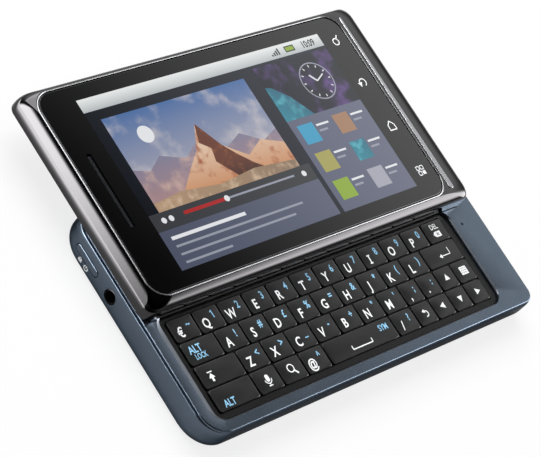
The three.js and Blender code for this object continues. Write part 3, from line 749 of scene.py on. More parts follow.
def woven(name, rect, z, pitch=WIRE_PITCH, wire=WIRE):
    """A flat mesh of crossing wires, each a flattened bar with a chamfered back."""
    shape = bmesh.new()
    runs = []
    for x in range(int((rect.right - rect.left) / pitch)):
        at = rect.left + (x + 0.5) * pitch
        runs.append(((at, rect.near), (at, rect.far), (wire / 2, 0)))
    for y in range(int((rect.far - rect.near) / pitch)):
        at = rect.near + (y + 0.5) * pitch
        runs.append(((rect.left, at), (rect.right, at), (0, wire / 2)))
    for number, (start, end, (dx, dy)) in enumerate(runs):
        lift = z + (wire / 4 if dx else 0)
        ends = []
        for x, y in (start, end):
            ends.append([shape.verts.new(corner) for corner in (
                (x - dx, y - dy, lift), (x + dx, y + dy, lift),
                (x + dx / 2, y + dy / 2, lift + wire / 2),
                (x - dx / 2, y - dy / 2, lift + wire / 2))])
        shape.faces.new(ends[0])
        shape.faces.new(ends[1])
        for here in range(4):
            there = (here + 1) % 4
            shape.faces.new((ends[0][here], ends[0][there], ends[1][there], ends[1][here]))
    bmesh.ops.recalc_face_normals(shape, faces=shape.faces)
    return as_mesh(name, shape)


grille = woven("speaker_mesh", inset(speaker, SLOT_WIDTH), SHELL_WALL + 0.02 * MM)
place("speaker_mesh", grille, [tin_plate], "base", "slide_steel")
place("rear_shell", housing, [lacquer], "base", "slate_plastic", ["rear_housing"])

# Marks printed in white on the left end beside the power button: a padlock and a power sign.

MARK_LINE = 0.3 * MM
BOLD_SHARE = 0.022
MARK_LIFT = 0.015 * MM
MARK_HEIGHT = 2.15 * MM
LOCK_FROM_FAR_SIDE = 9.35 * MM
POWER_FROM_FAR_SIDE = 11.75 * MM
SERIF_LINE = 0.15
SERIFS = {"1": [((0.03, 0.46), (-0.24, 0.26))],
          "I": [((-0.2, 0.43), (0.2, 0.43)), ((-0.2, -0.43), (0.2, -0.43))]}

# Pad-printed white ink: matt and slightly uneven. Both inks carry a faint painted glow, which
# stands for the light behind the prints on the keys and is on the marks on the wall and glass too.
white_ink = surface("white_pad_print", "#f2f4f5", 0.5, Emission_Color=linear("#f2f4f5"),
                    Emission_Strength=0.28, grained=(0.15, 0.001, 0.45, 0.6))
blue_ink = surface("pale_blue_pad_print", "#8fc6e6", 0.5, Emission_Color=linear("#8fc6e6"),
                   Emission_Strength=0.28, grained=(0.15, 0.001, 0.45, 0.6))


class Drawing:
    """Flat shapes in one plane: each is a list of points, with a number for its colour."""

    def __init__(self):
        self.shapes = []

    def shape(self, points, colour=0, layer=0):
        self.shapes.append((list(points), colour, layer))

    def bar(self, start, end, line, colour=0, layer=0):
        """A straight stroke with square ends."""
        start, end = Vector(start), Vector(end)
        side = (end - start).orthogonal().normalized() * line / 2
        self.shape([start - side, end - side, end + side, start + side], colour, layer)

    def box(self, left, right, near, far, colour=0, layer=0):
        self.shape([(left, near), (right, near), (right, far), (left, far)], colour, layer)

    def stroke(self, points, line, colour=0, layer=0):
        for start, end in zip(points, points[1:]):
            self.bar(start, end, line, colour, layer)

    def arc(self, centre, radius, line, first, last, colour=0, layer=0, squeeze=1.0):
        """A curved stroke between two angles in degrees, squeezed along the first axis."""
        steps = max(6, int(abs(last - first) / 12))
        inner, outer = radius - line / 2, radius + line / 2
        for step in range(steps):
            angles = [math.radians(first + (last - first) * at / steps)
                      for at in (step, step + 1)]
            corners = [(reach * math.cos(angle), reach * math.sin(angle))
                       for reach, angle in ((inner, angles[0]), (outer, angles[0]),
                                            (outer, angles[1]), (inner, angles[1]))]
            self.shape([(centre[0] + x * squeeze, centre[1] + y) for x, y in corners],
                       colour, layer)

    def disc(self, centre, radius, colour=0, layer=0, sides=24, squeeze=1.0):
        self.shape([(centre[0] + radius * squeeze * math.cos(2 * math.pi * side / sides),
                     centre[1] + radius * math.sin(2 * math.pi * side / sides))
                    for side in range(sides)], colour, layer)

    def lettering(self, text, middle, height, colour=0, layer=0, narrow=0.8):
        """Plain sans-serif characters of that capital height, centred on a point."""
        outlines = text_mesh(text)
        low, high = text_bounds(outlines)
        capital = text_bounds(text_mesh("H"))[1].y
        size = height / capital
        for polygon in outlines.polygons:
            corners = [outlines.vertices[at].co for at in polygon.vertices]
            self.shape([(middle[0] + (c.x - (low.x + high.x) / 2) * size * narrow,
                         middle[1] + (c.y - capital / 2) * size) for c in corners],
                       colour, layer)
        for start, end in SERIFS.get(text, ()):
            self.bar(Vector(middle) + Vector(start) * height, Vector(middle) + Vector(end) * height,
                     SERIF_LINE * height, colour, layer)

    def into(self, shape, lift):
        """Adds the faces to a bmesh: lift turns a point of the plane and a layer into a place."""
        for points, colour, layer in self.shapes:
            face = shape.faces.new([shape.verts.new(lift(Vector(p), layer)) for p in points])
            face.material_index = colour
            face.normal_update()


text_meshes = {}


def text_mesh(text):
    if text not in text_meshes:
        curve = bpy.data.curves.new("lettering", "FONT")
        curve.body = text
        curve.resolution_u = 3
        curve.offset = BOLD_SHARE
        writer = bpy.data.objects.new("lettering", curve)
        bpy.context.scene.collection.objects.link(writer)
        graph = bpy.context.evaluated_depsgraph_get()
        text_meshes[text] = bpy.data.meshes.new_from_object(writer.evaluated_get(graph))
        bpy.data.objects.remove(writer)
    return text_meshes[text]


def text_bounds(mesh):
    xs, ys = zip(*((v.co.x, v.co.y) for v in mesh.vertices))
    return Vector((min(xs), min(ys))), Vector((max(xs), max(ys)))


def drawn(name, drawing, lift):
    shape = bmesh.new()
    drawing.into(shape, lift)
    return as_mesh(name, shape)


def on_left_wall(point, layer):
    """A point of the drawing on the round wall: x is its way from the far side, y its height."""
    z = point.y
    low = max(0, 1 - z / FOOT_UPWARD)
    drawn_in = FOOT_INWARD * (1 - math.sqrt(1 - low * low))
    return shell.left + drawn_in - MARK_LIFT, shell.far - point.x, z


marks = Drawing()
lock = (LOCK_FROM_FAR_SIDE, MARK_HEIGHT)
marks.box(lock[0] - 0.6 * MM, lock[0] + 0.6 * MM, lock[1] - 0.7 * MM, lock[1] + 0.1 * MM)
marks.arc((lock[0], lock[1] + 0.1 * MM), 0.4 * MM, MARK_LINE * 0.7, 0, 180)
power = (POWER_FROM_FAR_SIDE, MARK_HEIGHT - 0.1 * MM)
marks.arc(power, 0.65 * MM, MARK_LINE, 125, 415)
marks.bar(power, (power[0], power[1] + 0.8 * MM), MARK_LINE)
place("side_marks", drawn("side_marks", marks, on_left_wall), [white_ink], "base",
      "slate_plastic")

# Inside the base: the board with its soldered parts, the battery and the camera's body. They keep
# their CAD solids, and show only through the sockets and the grille.


def dress(node, material):
    """Gives a CAD node that stays its material."""
    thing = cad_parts[node]
    if not thing.data.materials:
        thing.data.materials.append(material)
    for slot in thing.material_slots:
        slot.link = "OBJECT"
        slot.material = material


# Solder mask over glass-fibre board: deep green and glossy, with copper tracks about 0.5 mm apart
# showing as lighter lines.
solder_mask, tree, shader = shaded("green_solder_mask", "#143d29", 0.3, Coat_Weight=0.4)
grain(tree, shader, 0.2, 0.004, 0.25, 0.4)
at = add(tree, "TexCoord")
tracks = add(tree, "TexWave", {"Scale": per_metre(0.5) / 20, "Distortion": 6.0},
             {"Vector": at.outputs["Object"]})
copper = add(tree, "Mix", {"data_type": "RGBA", 6: linear("#143d29"),
                                     7: linear("#2c6b48")}, {0: tracks.outputs["Fac"]})
tree.links.new(copper.outputs[2], shader.inputs["Base Color"])
dress("main_board", solder_mask)
# Shrink film over the battery's cell: dark, with soft wrinkles every 3 mm.
film = surface("polyester_shrink_film", "#2b2d31", 0.35, grained=(3.0, 0.05, 0.3, 0.45))
dress("battery", film)
dress("camera_module", black_abs)

# Keyboard deck: the top face of the base, lacquered like the housing. A narrow bevelled edge leads
# down to the keyboard; it catches the light on its left and near sides, helped by a painted
# highlight.

DECK_ROUND = 0.35 * MM
DECK_PLATE = 0.6 * MM
DECK_NEAR_INSET = 0.12 * MM
DECK_CHIN_CORNER = 3.0 * MM
SKIRT_INSET = 1.9 * MM
SCOOP_DEPTH = 0.25 * MM
EDGE_LIFT = 0.015 * MM
SCOOP_LEFT, SCOOP_RIGHT, SCOOP_NEAR, SCOOP_FAR = (w * MM for w in (1.3, 0.5, 0.3, 0.3))
KEYPAD_LEFT, KEYPAD_RIGHT, KEYPAD_NEAR, KEYPAD_FAR = (w * MM for w in (1.8, 2.5, 1.75, 1.75))
RECESS_CORNER = 3.0 * MM
KEY_GAP = 0.35 * MM
MIC_RADIUS = 0.4 * MM
MIC_FROM_CHIN_END = 8.05 * MM
MIC_FROM_FAR_SIDE = 35.15 * MM
CHANNEL_FLOOR = 0.7 * MM

deck = plan("keyboard_deck")
deck_low, deck_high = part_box("keyboard_deck")
deck = deck._replace(near=shell.near + DECK_NEAR_INSET)
deck_left_corner = LEFT_CORNER - (deck.left - shell.left)
key_nodes = [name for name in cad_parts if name.startswith("key_")]
key_plans = [plan(name) for name in key_nodes]
key_block = inset(Rect(min(k.left for k in key_plans), max(k.right for k in key_plans),
                       min(k.near for k in key_plans), max(k.far for k in key_plans)),
                  -KEY_GAP / 2)
recess = inset(key_block, -KEYPAD_LEFT, -KEYPAD_RIGHT, -KEYPAD_NEAR, -KEYPAD_FAR)
plate_bottom = deck_high.z - DECK_PLATE

rings = [ring(deck, (deck_left_corner, DECK_CHIN_CORNER), plate_bottom)]
rings += round_over(deck, lambda change: (deck_left_corner + change, DECK_CHIN_CORNER + change),
                    deck_high.z, DECK_ROUND)
slope = (inset(recess, -SCOOP_LEFT, -SCOOP_RIGHT, -SCOOP_NEAR, -SCOOP_FAR),
         RECESS_CORNER + SCOOP_LEFT)
rings.append(ring(*slope, deck_high.z))
rings.append(ring(recess, RECESS_CORNER, deck_high.z - SCOOP_DEPTH))
rings.append(ring(recess, RECESS_CORNER, deck_low.z))
skirt = inset(shell, SKIRT_INSET)
rings += [ring(skirt, shell_corner(-SKIRT_INSET), z) for z in (deck_low.z, plate_bottom)]
deck_mesh = skin("deck", rings, joined=True)
channel = inset(plan("slide_carriage"), -SEAT_GAP)
channel_floor = deck_low.z + CHANNEL_FLOOR
deck_mesh = cut(deck_mesh, slab("channel", channel, 1.5 * MM, channel_floor,
                                deck_high.z + OVERRUN, 4))
mic_at = Vector((shell.right - MIC_FROM_CHIN_END, shell.far - MIC_FROM_FAR_SIDE, deck_high.z))
deck_mesh = cut(deck_mesh, moved(
    lathed("mic_hole", [(MIC_RADIUS, -DECK_PLATE / 2), (MIC_RADIUS, OVERRUN)], sides=24),
    UPRIGHT, mic_at))
place("deck", deck_mesh, [lacquer], "base", "slate_plastic", ["keyboard_deck"])

# The sloping edge round the keys has a strip of pale grey metal laid over it, lighter than the
# lacquer: a painted highlight for the light line that the edge catches. It has fine marks in it.
edge_highlight = surface("painted_edge_highlight", "#767b83", 0.32, 1.0,
                   grained=(0.15, 0.001, 0.28, 0.36))
rings = []
for lift in (EDGE_LIFT, -EDGE_LIFT):
    slopes = [ring(*slope, deck_high.z + lift),
              ring(recess, RECESS_CORNER, deck_high.z - SCOOP_DEPTH + lift)]
    rings += slopes if lift > 0 else slopes[::-1]
place("recess_edge", skin("recess_edge", rings, joined=True), [edge_highlight], "base", "slate_plastic")

# Key mat: black silicone under the keys, whose glossy raised edge frames them. It keeps its CAD
# solid.

# Gloss-coated silicone: black, with a faint moulding texture of about 0.4 mm.
gloss_silicone = surface("gloss_coated_silicone", "#070708", 0.3, Specular_IOR_Level=0.25,
                         grained=(0.4, 0.002, 0.26, 0.36))
dress("keymat", gloss_silicone)

# Keys: hard-coated black polycarbonate caps, each crowned and rounded most at its right edge, with
# its letter printed in white at the left and its second character in pale blue at the upper right.
# The prints are drawn in millimetres from the key's middle.

KEY_CORNER = 0.6 * MM
KEY_ROUND = 0.22 * MM
KEY_EDGES = (0.1 * MM, 0.3 * MM, 0.06 * MM, 0.15 * MM)
KEY_CROWN = 0.12 * MM
KEY_STEPS = 3
KEY_SIDE_STEPS = 8
KEY_DOME_SHARES = (0.95, 0.85, 0.72, 0.58, 0.42, 0.26, 0.1)
INK_LIFT = 0.03 * MM
LETTER_HEIGHT = 2.35
SECOND_HEIGHT = 1.9
LETTER_AT = (-1.5, -0.7)
SECOND_AT = (1.5, 0.8)

# Hard-coated polycarbonate: deep black under a clear coat, with moulding clouds of some 4 mm.
key_black = surface("hard_coated_polycarbonate", "#0a0a0b", 0.3, Specular_IOR_Level=0.4,
                    Coat_Weight=0.1, Coat_Roughness=0.18, grained=(0.2, 0.0015, 0.24, 0.36))


def key_height(rect, top, point):
    """How high the crowned top of a key stands at a point."""
    x = (point[0] - (rect.left + rect.right) / 2) / ((rect.right - rect.left) / 2 - KEY_ROUND)
    y = (point[1] - (rect.near + rect.far) / 2) / ((rect.far - rect.near) / 2 - KEY_ROUND)
    return top - KEY_CROWN + KEY_CROWN * max(0, 1 - x * x) * max(0, 1 - y * y)


def key_rings(rect, bottom, top):
    shoulder = top - KEY_CROWN
    rings = [ring(rect, KEY_CORNER, bottom, KEY_STEPS, KEY_SIDE_STEPS)]
    for angle in quarter_turn(KEY_STEPS):
        share = 1 - math.cos(angle)
        rings.append(ring(inset(rect, *(edge * share for edge in KEY_EDGES)),
                          KEY_CORNER - KEY_EDGES[0] * share,
                          shoulder - KEY_ROUND * (1 - math.sin(angle)), KEY_STEPS,
                          KEY_SIDE_STEPS))
    edge = outline(inset(rect, *KEY_EDGES), KEY_CORNER - KEY_EDGES[0], KEY_STEPS, KEY_SIDE_STEPS)
    middle = ((rect.left + rect.right) / 2, (rect.near + rect.far) / 2)
    for share in KEY_DOME_SHARES:
        points = [(middle[0] + (x - middle[0]) * share, middle[1] + (y - middle[1]) * share)
                  for x, y in edge]
        rings.append([(x, y, key_height(rect, top, (x, y))) for x, y in points])
    return rings


def triangle(drawing, toward, size=1.05):
    """A solid arrow head that points along an angle in degrees."""
    corners = [math.radians(toward + turn) for turn in (0, 125, 235)]
    drawing.shape([(size * math.cos(a), size * math.sin(a)) for a in corners], 1)


def enter_mark(drawing):
    line = 0.22
    drawing.stroke([(2.6, 1.2), (2.6, -0.6), (-0.6, -0.6)], line, 1)
    drawing.shape([(-1.5, -0.6), (-0.5, -1.2), (-0.5, 0)], 1)


def shift_mark(drawing):
    x = -3.2
    drawing.bar((x - 0.75, 0.65), (x + 0.75, 0.65), 0.26, 1)
    drawing.shape([(x, 0.35), (x - 0.9, -0.8), (x + 0.9, -0.8)], 1)
    drawing.bar((x, -0.8), (x, -1.7), 0.6, 1)


def microphone_mark(drawing):
    drawing.disc((0, 0.7), 0.55, 1)
    drawing.bar((0, 0.7), (0, -0.05), 1.1, 1)
    drawing.disc((0, -0.05), 0.55, 1)
    drawing.arc((0, 0), 1.0, 0.25, 180, 360, 1)
    drawing.bar((0, -0.95), (0, -1.5), 0.25, 1)
    drawing.bar((-0.6, -1.55), (0.6, -1.55), 0.25, 1)


def magnifier_mark(drawing):
    drawing.arc((-0.25, 0.35), 0.95, 0.3, 0, 360, 1)
    drawing.bar((0.45, -0.35), (1.3, -1.35), 0.45, 1)


def space_mark(drawing):
    line = 0.3
    drawing.stroke([(-3.9, -0.4), (-3.9, -1.4), (3.0, -1.4), (3.0, -0.4)], line, 1)
    drawing.lettering("SYM", (8.4, 0.9), SECOND_HEIGHT * 0.8, 2)


def back_mark(drawing):
    drawing.arc((0.1, -0.25), 0.75, 0.3, -110, 100, 1)
    drawing.shape([(-0.95, 0.5), (0, 1.05), (0, -0.05)], 1)


def delete_mark(drawing):
    drawing.lettering("DEL", (0.1, 1.2), SECOND_HEIGHT * 0.75, 1)
    drawing.shape([(-1.5, -0.9), (-0.8, -0.15), (1.2, -0.15), (1.2, -1.65), (-0.8, -1.65)], 1)
    for lean in (-1, 1):
        drawing.bar((-0.3, -0.9 - lean * 0.35), (0.5, -0.9 + lean * 0.35), 0.18, 0, 1)


def panel_mark(drawing):
    for row in range(4):
        for column in range(5):
            left, low = -1.25 + column * 0.5, -1.0 + row * 0.55
            drawing.box(left, left + 0.5, low, low + 0.55, 1)
    for row in range(3):
        y = 0.75 - row * 0.6
        for column in range(4):
            x = -0.8 + column * 0.52
            drawing.box(x - 0.12, x + 0.12, y - 0.12, y + 0.12, 0, 1)


def alt_mark(drawing):
    drawing.lettering("ALT", (-2.6, -1.3), SECOND_HEIGHT * 0.92, 2)


def alt_lock_mark(drawing):
    drawing.lettering("ALT", (-2.0, 0.75), SECOND_HEIGHT, 2)
    drawing.lettering("LOCK", (-1.2, -1.15), SECOND_HEIGHT * 0.7, 2, narrow=0.7)


key_marks = {
    "enter": enter_mark, "shift": shift_mark, "mic": microphone_mark, "search": magnifier_mark,
    "space": space_mark, "back": back_mark, "del": delete_mark, "face": panel_mark,
    "alt": alt_mark, "alt_lock": alt_lock_mark,
    "up": lambda drawing: triangle(drawing, 90), "down": lambda drawing: triangle(drawing, 270),
    "left": lambda drawing: triangle(drawing, 180), "right": lambda drawing: triangle(drawing, 0),
}
key_letters = {"euro": "€~", "at": "@^", "slash": "/?", "comma": ",;", "period": ".:"}
for letters, seconds in (("qwertyuiop", "1234567890"), ("asdfghjkl", "!#£%=&*()"),
                         ("zxcvbnm", "<>_-+\"'")):
    for letter, second in zip(letters, seconds):
        key_letters[letter] = letter.upper() + second

for node in key_nodes:
    low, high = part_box(node)
    rect = plan(node)
    middle = Vector(((rect.left + rect.right) / 2, (rect.near + rect.far) / 2))
    drawing = Drawing()
    name = node.removeprefix("key_")
    if name in key_marks:
        key_marks[name](drawing)
    else:
        letter, second = key_letters[name]
        tight = (rect.right - rect.left) / (rect.far - rect.near) < 1.2
        inward = 0.75 if tight else 1
        drawing.lettering(letter, (LETTER_AT[0] * inward, LETTER_AT[1]), LETTER_HEIGHT, 1)
        drawing.lettering(second, (SECOND_AT[0] * inward, SECOND_AT[1]), SECOND_HEIGHT, 2)
    shape = bmesh.new()
    shape.from_mesh(skin(node, key_rings(rect, low.z, high.z)))

    def on_key(point, layer):
        at = middle + point * MM
        return at.x, at.y, key_height(rect, high.z, at) + INK_LIFT * (1 + layer)

    drawing.into(shape, on_key)
    place(node + "_cap", as_mesh(node, shape), [key_black, white_ink, blue_ink], node,
          "key_black", [node])

# Slide: a pressed stainless carriage in the deck and a stainless back on the display half. They
# keep their CAD solids.

# Cold-rolled stainless steel, brushed along the slide's travel: hairlines about 0.15 mm apart.
stainless, tree, shader = shaded("brushed_stainless_steel", "#8d8f93", 0.32, 1.0)
at = add(tree, "TexCoord")
stretched = add(tree, "Mapping", {"Scale": (1.0, 0.03, 1.0)},
                {"Vector": at.outputs["Object"]})
hairlines = add(tree, "TexNoise", {"Scale": per_metre(0.15), "Detail": 3.0},
                {"Vector": stretched.outputs[0]})
bump = add(tree, "Bump", {"Strength": 0.6, "Distance": 0.004 * MM},
           {"Height": hairlines.outputs["Fac"]})
tree.links.new(bump.outputs[0], shader.inputs["Normal"])
dress("slide_carriage", stainless)
dress("slide_plate", stainless)

# Display frame: a moulded bezel plated in black nickel, so smooth that it mirrors the lamps as long
# soft bands. It rises in one full curve from its widest line to a thin bright ring round the glass.

SLAB_CORNER = 2.8 * MM
FOOT_CHAMFER = 0.2 * MM
BEVEL_RISE_SHARE = 0.7
BEVEL_INWARD_SHARES = Rect(2, 0.45, None, 1.1)
NEAR_BEVEL_POWER = 7.5
BEVEL_STEPS = 24
GLASS_CORNER = 4.6 * MM
RIM_WIDTH = 0.62 * MM
RING_HEIGHT = 0.24 * MM
RING_OUTER = 0.52 * MM
RING_INNER = 0.2 * MM
RING_FOOT = 0.01 * MM
RING_STEPS = 6
REAR_POCKET_INSET = 2.6 * MM
REAR_POCKET_HEIGHT = 1.8 * MM
POCKET_CORNER = 4.3 * MM
WINDOW_CORNER = 0.8 * MM
DISPLAY_STEPS = 16

slab_plan = plan("display_frame")
slab_low, slab_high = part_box("display_frame")
glass_plan = plan("touch_glass")
glass_low, glass_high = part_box("touch_glass")
lcd_plan = plan("lcd_panel")
rim = inset(glass_plan, -RIM_WIDTH)
rim_corner = GLASS_CORNER + RIM_WIDTH
ledge = slab_high.z - RING_HEIGHT


def bevel_ring(angle):
    """The bevel's outline at an angle of its curve. Each side draws in at its own rate, the near
    one only high up, where it turns into a flat slope."""
    rise = math.sin(angle) ** BEVEL_RISE_SHARE
    near = rise ** NEAR_BEVEL_POWER
    drawn_in = [1 - max(math.cos(angle), 0) ** share if share else near
                for share in BEVEL_INWARD_SHARES]
    sides = Rect(*(outer + (inner - outer) * inward
                   for outer, inner, inward in zip(slab_plan, rim, drawn_in)))
    corner = SLAB_CORNER + (rim_corner - SLAB_CORNER) * near
    return ring(sides, corner, widest + (ledge - widest) * rise, DISPLAY_STEPS)


widest = slab_low.z + FOOT_CHAMFER
rings = [ring(inset(slab_plan, FOOT_CHAMFER), SLAB_CORNER - FOOT_CHAMFER, slab_low.z,
              DISPLAY_STEPS)]
rings += [bevel_ring(angle) for angle in quarter_turn(BEVEL_STEPS)]
pocket_wall = inset(glass_plan, -SEAM_GAP)
window = inset(lcd_plan, -SEAT_GAP)
rear_pocket = inset(slab_plan, REAR_POCKET_INSET)
pocket_floor = glass_low.z - SEAT_GAP
pocket_top = slab_low.z + REAR_POCKET_HEIGHT
for rect, corner, z in (
        (pocket_wall, GLASS_CORNER + SEAM_GAP, ledge),
        (pocket_wall, GLASS_CORNER + SEAM_GAP, pocket_floor),
        (window, WINDOW_CORNER, pocket_floor), (window, WINDOW_CORNER, pocket_top),
        (rear_pocket, POCKET_CORNER, pocket_top), (rear_pocket, POCKET_CORNER, slab_low.z)):
    rings.append(ring(rect, corner, z, DISPLAY_STEPS))

# Black nickel over copper on ABS: a dark grey mirror with a very slight haze.
black_nickel = surface("black_nickel_plate", "#484748", 0.1, 1.0,
                       grained=(0.6, 0.0006, 0.08, 0.13))
place("bezel", skin("bezel", rings, joined=True), [black_nickel], "display", "gunmetal",
      ["display_frame"])

ring_outer, ring_inner = (inset(glass_plan, -gap) for gap in (RING_OUTER, RING_INNER))
ring_mid = (RING_OUTER - RING_INNER) / 2
outer_corner = GLASS_CORNER + RING_OUTER
rings = [ring(ring_outer, outer_corner, ledge + RING_FOOT, DISPLAY_STEPS)]
for step in range(RING_STEPS + 1):
    angle = math.pi * step / RING_STEPS
    drawn_in = ring_mid * (1 - math.cos(angle))
    z = ledge + RING_HEIGHT * (0.5 + 0.5 * math.sin(angle))
    rings.append(ring(inset(ring_outer, drawn_in), outer_corner - drawn_in, z, DISPLAY_STEPS))
rings.append(ring(ring_inner, GLASS_CORNER + RING_INNER, ledge + RING_FOOT, DISPLAY_STEPS))
# Bright nickel on the ring: greyer than chromium, polished, with a faint haze.
bright_nickel = surface("bright_nickel", "#97989a", 0.22, 1.0, grained=(0.4, 0.0002, 0.2, 0.25))
place("bright_ring", skin("bright_ring", rings, joined=True), [bright_nickel], "display",
      "gunmetal")

# Trim bar: a satin nickel strip let into the flat band between the ring and the chin end. It tapers
# towards the far side.

BAR_FROM_GLASS = 1.2 * MM
BAR_WIDTH = 1.5 * MM
BAR_CORNER = 0.675 * MM
BAR_FROM_ENDS = 3.2 * MM
BAR_TAPER = 0.6
BAR_HEIGHT = 0.16 * MM
BAR_ROUND = 0.12 * MM
BAR_SUNK = 0.05 * MM

# Satin nickel: pale, with brushing so fine that it only softens what it mirrors.
satin_nickel = surface("satin_nickel", "#aaabae", 0.22, 1.0, grained=(0.4, 0.0004, 0.2, 0.25))
bar_left = glass_plan.right + BAR_FROM_GLASS
bar = Rect(bar_left, bar_left + BAR_WIDTH, slab_plan.near + BAR_FROM_ENDS,
           slab_plan.far - BAR_FROM_ENDS)
rings = [ring(bar, BAR_CORNER, ledge - BAR_SUNK)]
rings += round_over(bar, lambda change: BAR_CORNER + change, ledge + BAR_HEIGHT, BAR_ROUND, steps=3)
bar_middle = bar_left + BAR_WIDTH / 2
rings = [[(bar_middle + (x - bar_middle) * (1 - BAR_TAPER * (y - bar.near) / (bar.far - bar.near)),
           y, z) for x, y, z in points] for points in rings]
place("trim_bar", skin("trim_bar", rings), [satin_nickel], "display", "gunmetal")

# Touch glass: one pane, black-printed on its underside, with a ground edge and a slot for the
# earpiece, which a fine dark mesh closes. Touch marks are printed in white beside the screen.

GLASS_ROUND = 0.2 * MM
EAR_SLOT_LENGTH = 20 * MM
EAR_SLOT_WIDTH = 1.5 * MM
EAR_SLOT_FROM_EDGE = 5.2 * MM
GLASS_STEP = 0.012 * MM
SCREEN_LENGTH = 81.93 * MM
SCREEN_WIDTH = 46.05 * MM
SCREEN_FROM_EDGE = 10.635 * MM
MARKS_FROM_SCREEN = 4.5 * MM
MARK_SIZE = 1.5 * MM
TOUCH_LINE = 0.32 * MM

rings = [ring(glass_plan, GLASS_CORNER, glass_low.z)]
rings += round_over(glass_plan, lambda change: GLASS_CORNER + change, glass_high.z, GLASS_ROUND,
                    steps=4)
glass_mid = (glass_plan.near + glass_plan.far) / 2
ear_at = Vector((glass_plan.left + EAR_SLOT_FROM_EDGE, glass_mid, 0))
ear_rect = centred(EAR_SLOT_WIDTH, EAR_SLOT_LENGTH)
ear_slot = slab("ear_slot", ear_rect, EAR_SLOT_WIDTH * ROUND_END, glass_low.z - OVERRUN,
                glass_high.z + OVERRUN, 6)
pane = cut(skin("glass_pane", rings), moved(ear_slot, UPRIGHT, ear_at))
# Black-backed aluminosilicate glass: the print drinks the light, the surface keeps a clean mirror
# with a trace of finger grease in patches of about 15 mm.
black_glass = surface("black_backed_glass", "#050506", 0.05, IOR=1.52,
                      grained=(0.6, 0.0001, 0.04, 0.08))
place("glass_pane", pane, [black_glass], "display", "black_glass", ["touch_glass"])
ear_mesh = woven("ear_mesh", Rect(ear_at.x - EAR_SLOT_WIDTH / 2 + 0.05 * MM,
                                  ear_at.x + EAR_SLOT_WIDTH / 2 - 0.05 * MM,
                                  glass_mid - EAR_SLOT_LENGTH / 2 + 0.5 * MM,
                                  glass_mid + EAR_SLOT_LENGTH / 2 - 0.5 * MM),
                 glass_high.z - 0.45 * MM, 0.3 * MM, 0.14 * MM)
# Anodised aluminium wire, dark grey.
dark_wire = surface("dark_anodised_wire", "#3c3e42", 0.35, 1.0, grained=(0.1, 0.001, 0.3, 0.42))
place("ear_mesh", ear_mesh, [dark_wire], "display", "gunmetal")

screen = Rect(glass_plan.left + SCREEN_FROM_EDGE,
              glass_plan.left + SCREEN_FROM_EDGE + SCREEN_LENGTH,
              glass_mid - SCREEN_WIDTH / 2, glass_mid + SCREEN_WIDTH / 2)
screen_at = Vector(((screen.left + screen.right) / 2, glass_mid))


def on_glass(point, layer):
    return point.x, point.y, glass_high.z + GLASS_STEP * (1 + layer)


touch = Drawing()
mark_x = screen.right + MARKS_FROM_SCREEN
search_at, back_at, home_at, menu_at = (
    Vector((mark_x, glass_mid + y * MM)) for y in (19.6, 7.1, -6.1, -19.6))
touch.arc(search_at, MARK_SIZE * 0.62, TOUCH_LINE, 0, 360)
touch.bar(search_at + Vector((0.45, 0.6)) * MARK_SIZE, search_at + Vector((0.95, 1.15)) * MARK_SIZE,
          TOUCH_LINE)
touch.arc(back_at, MARK_SIZE * 0.7, TOUCH_LINE, -70, 180)
touch.shape([back_at + Vector(p) * MARK_SIZE for p in ((-1.2, 0.1), (-0.2, 0.1), (-0.7, -0.75))])
touch.stroke([home_at + Vector(p) * MARK_SIZE for p in (
    (-0.75, -0.8), (0.75, -0.8), (0.75, 0.15), (0, 0.9), (-0.75, 0.15), (-0.75, -0.9))],
    TOUCH_LINE)
for across, up in ((-1, 1), (1, 1), (-1, -1), (1, -1)):
    x = menu_at.x + across * MARK_SIZE * 0.48
    y = menu_at.y + up * MARK_SIZE * 0.48
    reach = MARK_SIZE * 0.34
    if (across, up) == (1, -1):
        touch.box(x - reach, x + reach, y - reach, y + reach)
    else:
        touch.stroke([(x - reach, y - reach), (x + reach, y - reach), (x + reach, y + reach),
                      (x - reach, y + reach), (x - reach, y - reach)], TOUCH_LINE * 0.7)
place("touch_marks", drawn("touch_marks", touch, on_glass), [white_ink], "display",
      "black_glass")

# Lit screen: a plain start page of the phone's own, with a landscape, a slider, a clock and tiles.
# Each colour glows a little under the same gloss as the glass. The page is drawn in millimetres
# from the screen's middle.

PAGE_GLOW = 0.9
STATUS_HEIGHT = 3.5
PICTURE = Rect(-37.5, 9.5, -8.5, 17.0)
COLUMN_LEFT = 12.5
COLUMN_SPLIT = 3.0
SLIDER_FOOT = -13
COPY_LEFT = -38.5
COPY_LENGTHS = (24, 42, 38, 15)
TEXT_LINE = 0.55
TILE = 5.4
TILES = ("water", "dusk", "leaf", "teal", "green", "sky")

half_long, half_wide = SCREEN_LENGTH / 2 / MM, SCREEN_WIDTH / 2 / MM
bar_low = half_wide - STATUS_HEIGHT

# Polarising film on the panel, which keeps its CAD solid under the printed glass: smooth and dark.
panel_film = surface("polarising_film", "#15171c", 0.2, grained=(0.5, 0.001, 0.15, 0.25))
dress("lcd_panel", panel_film)


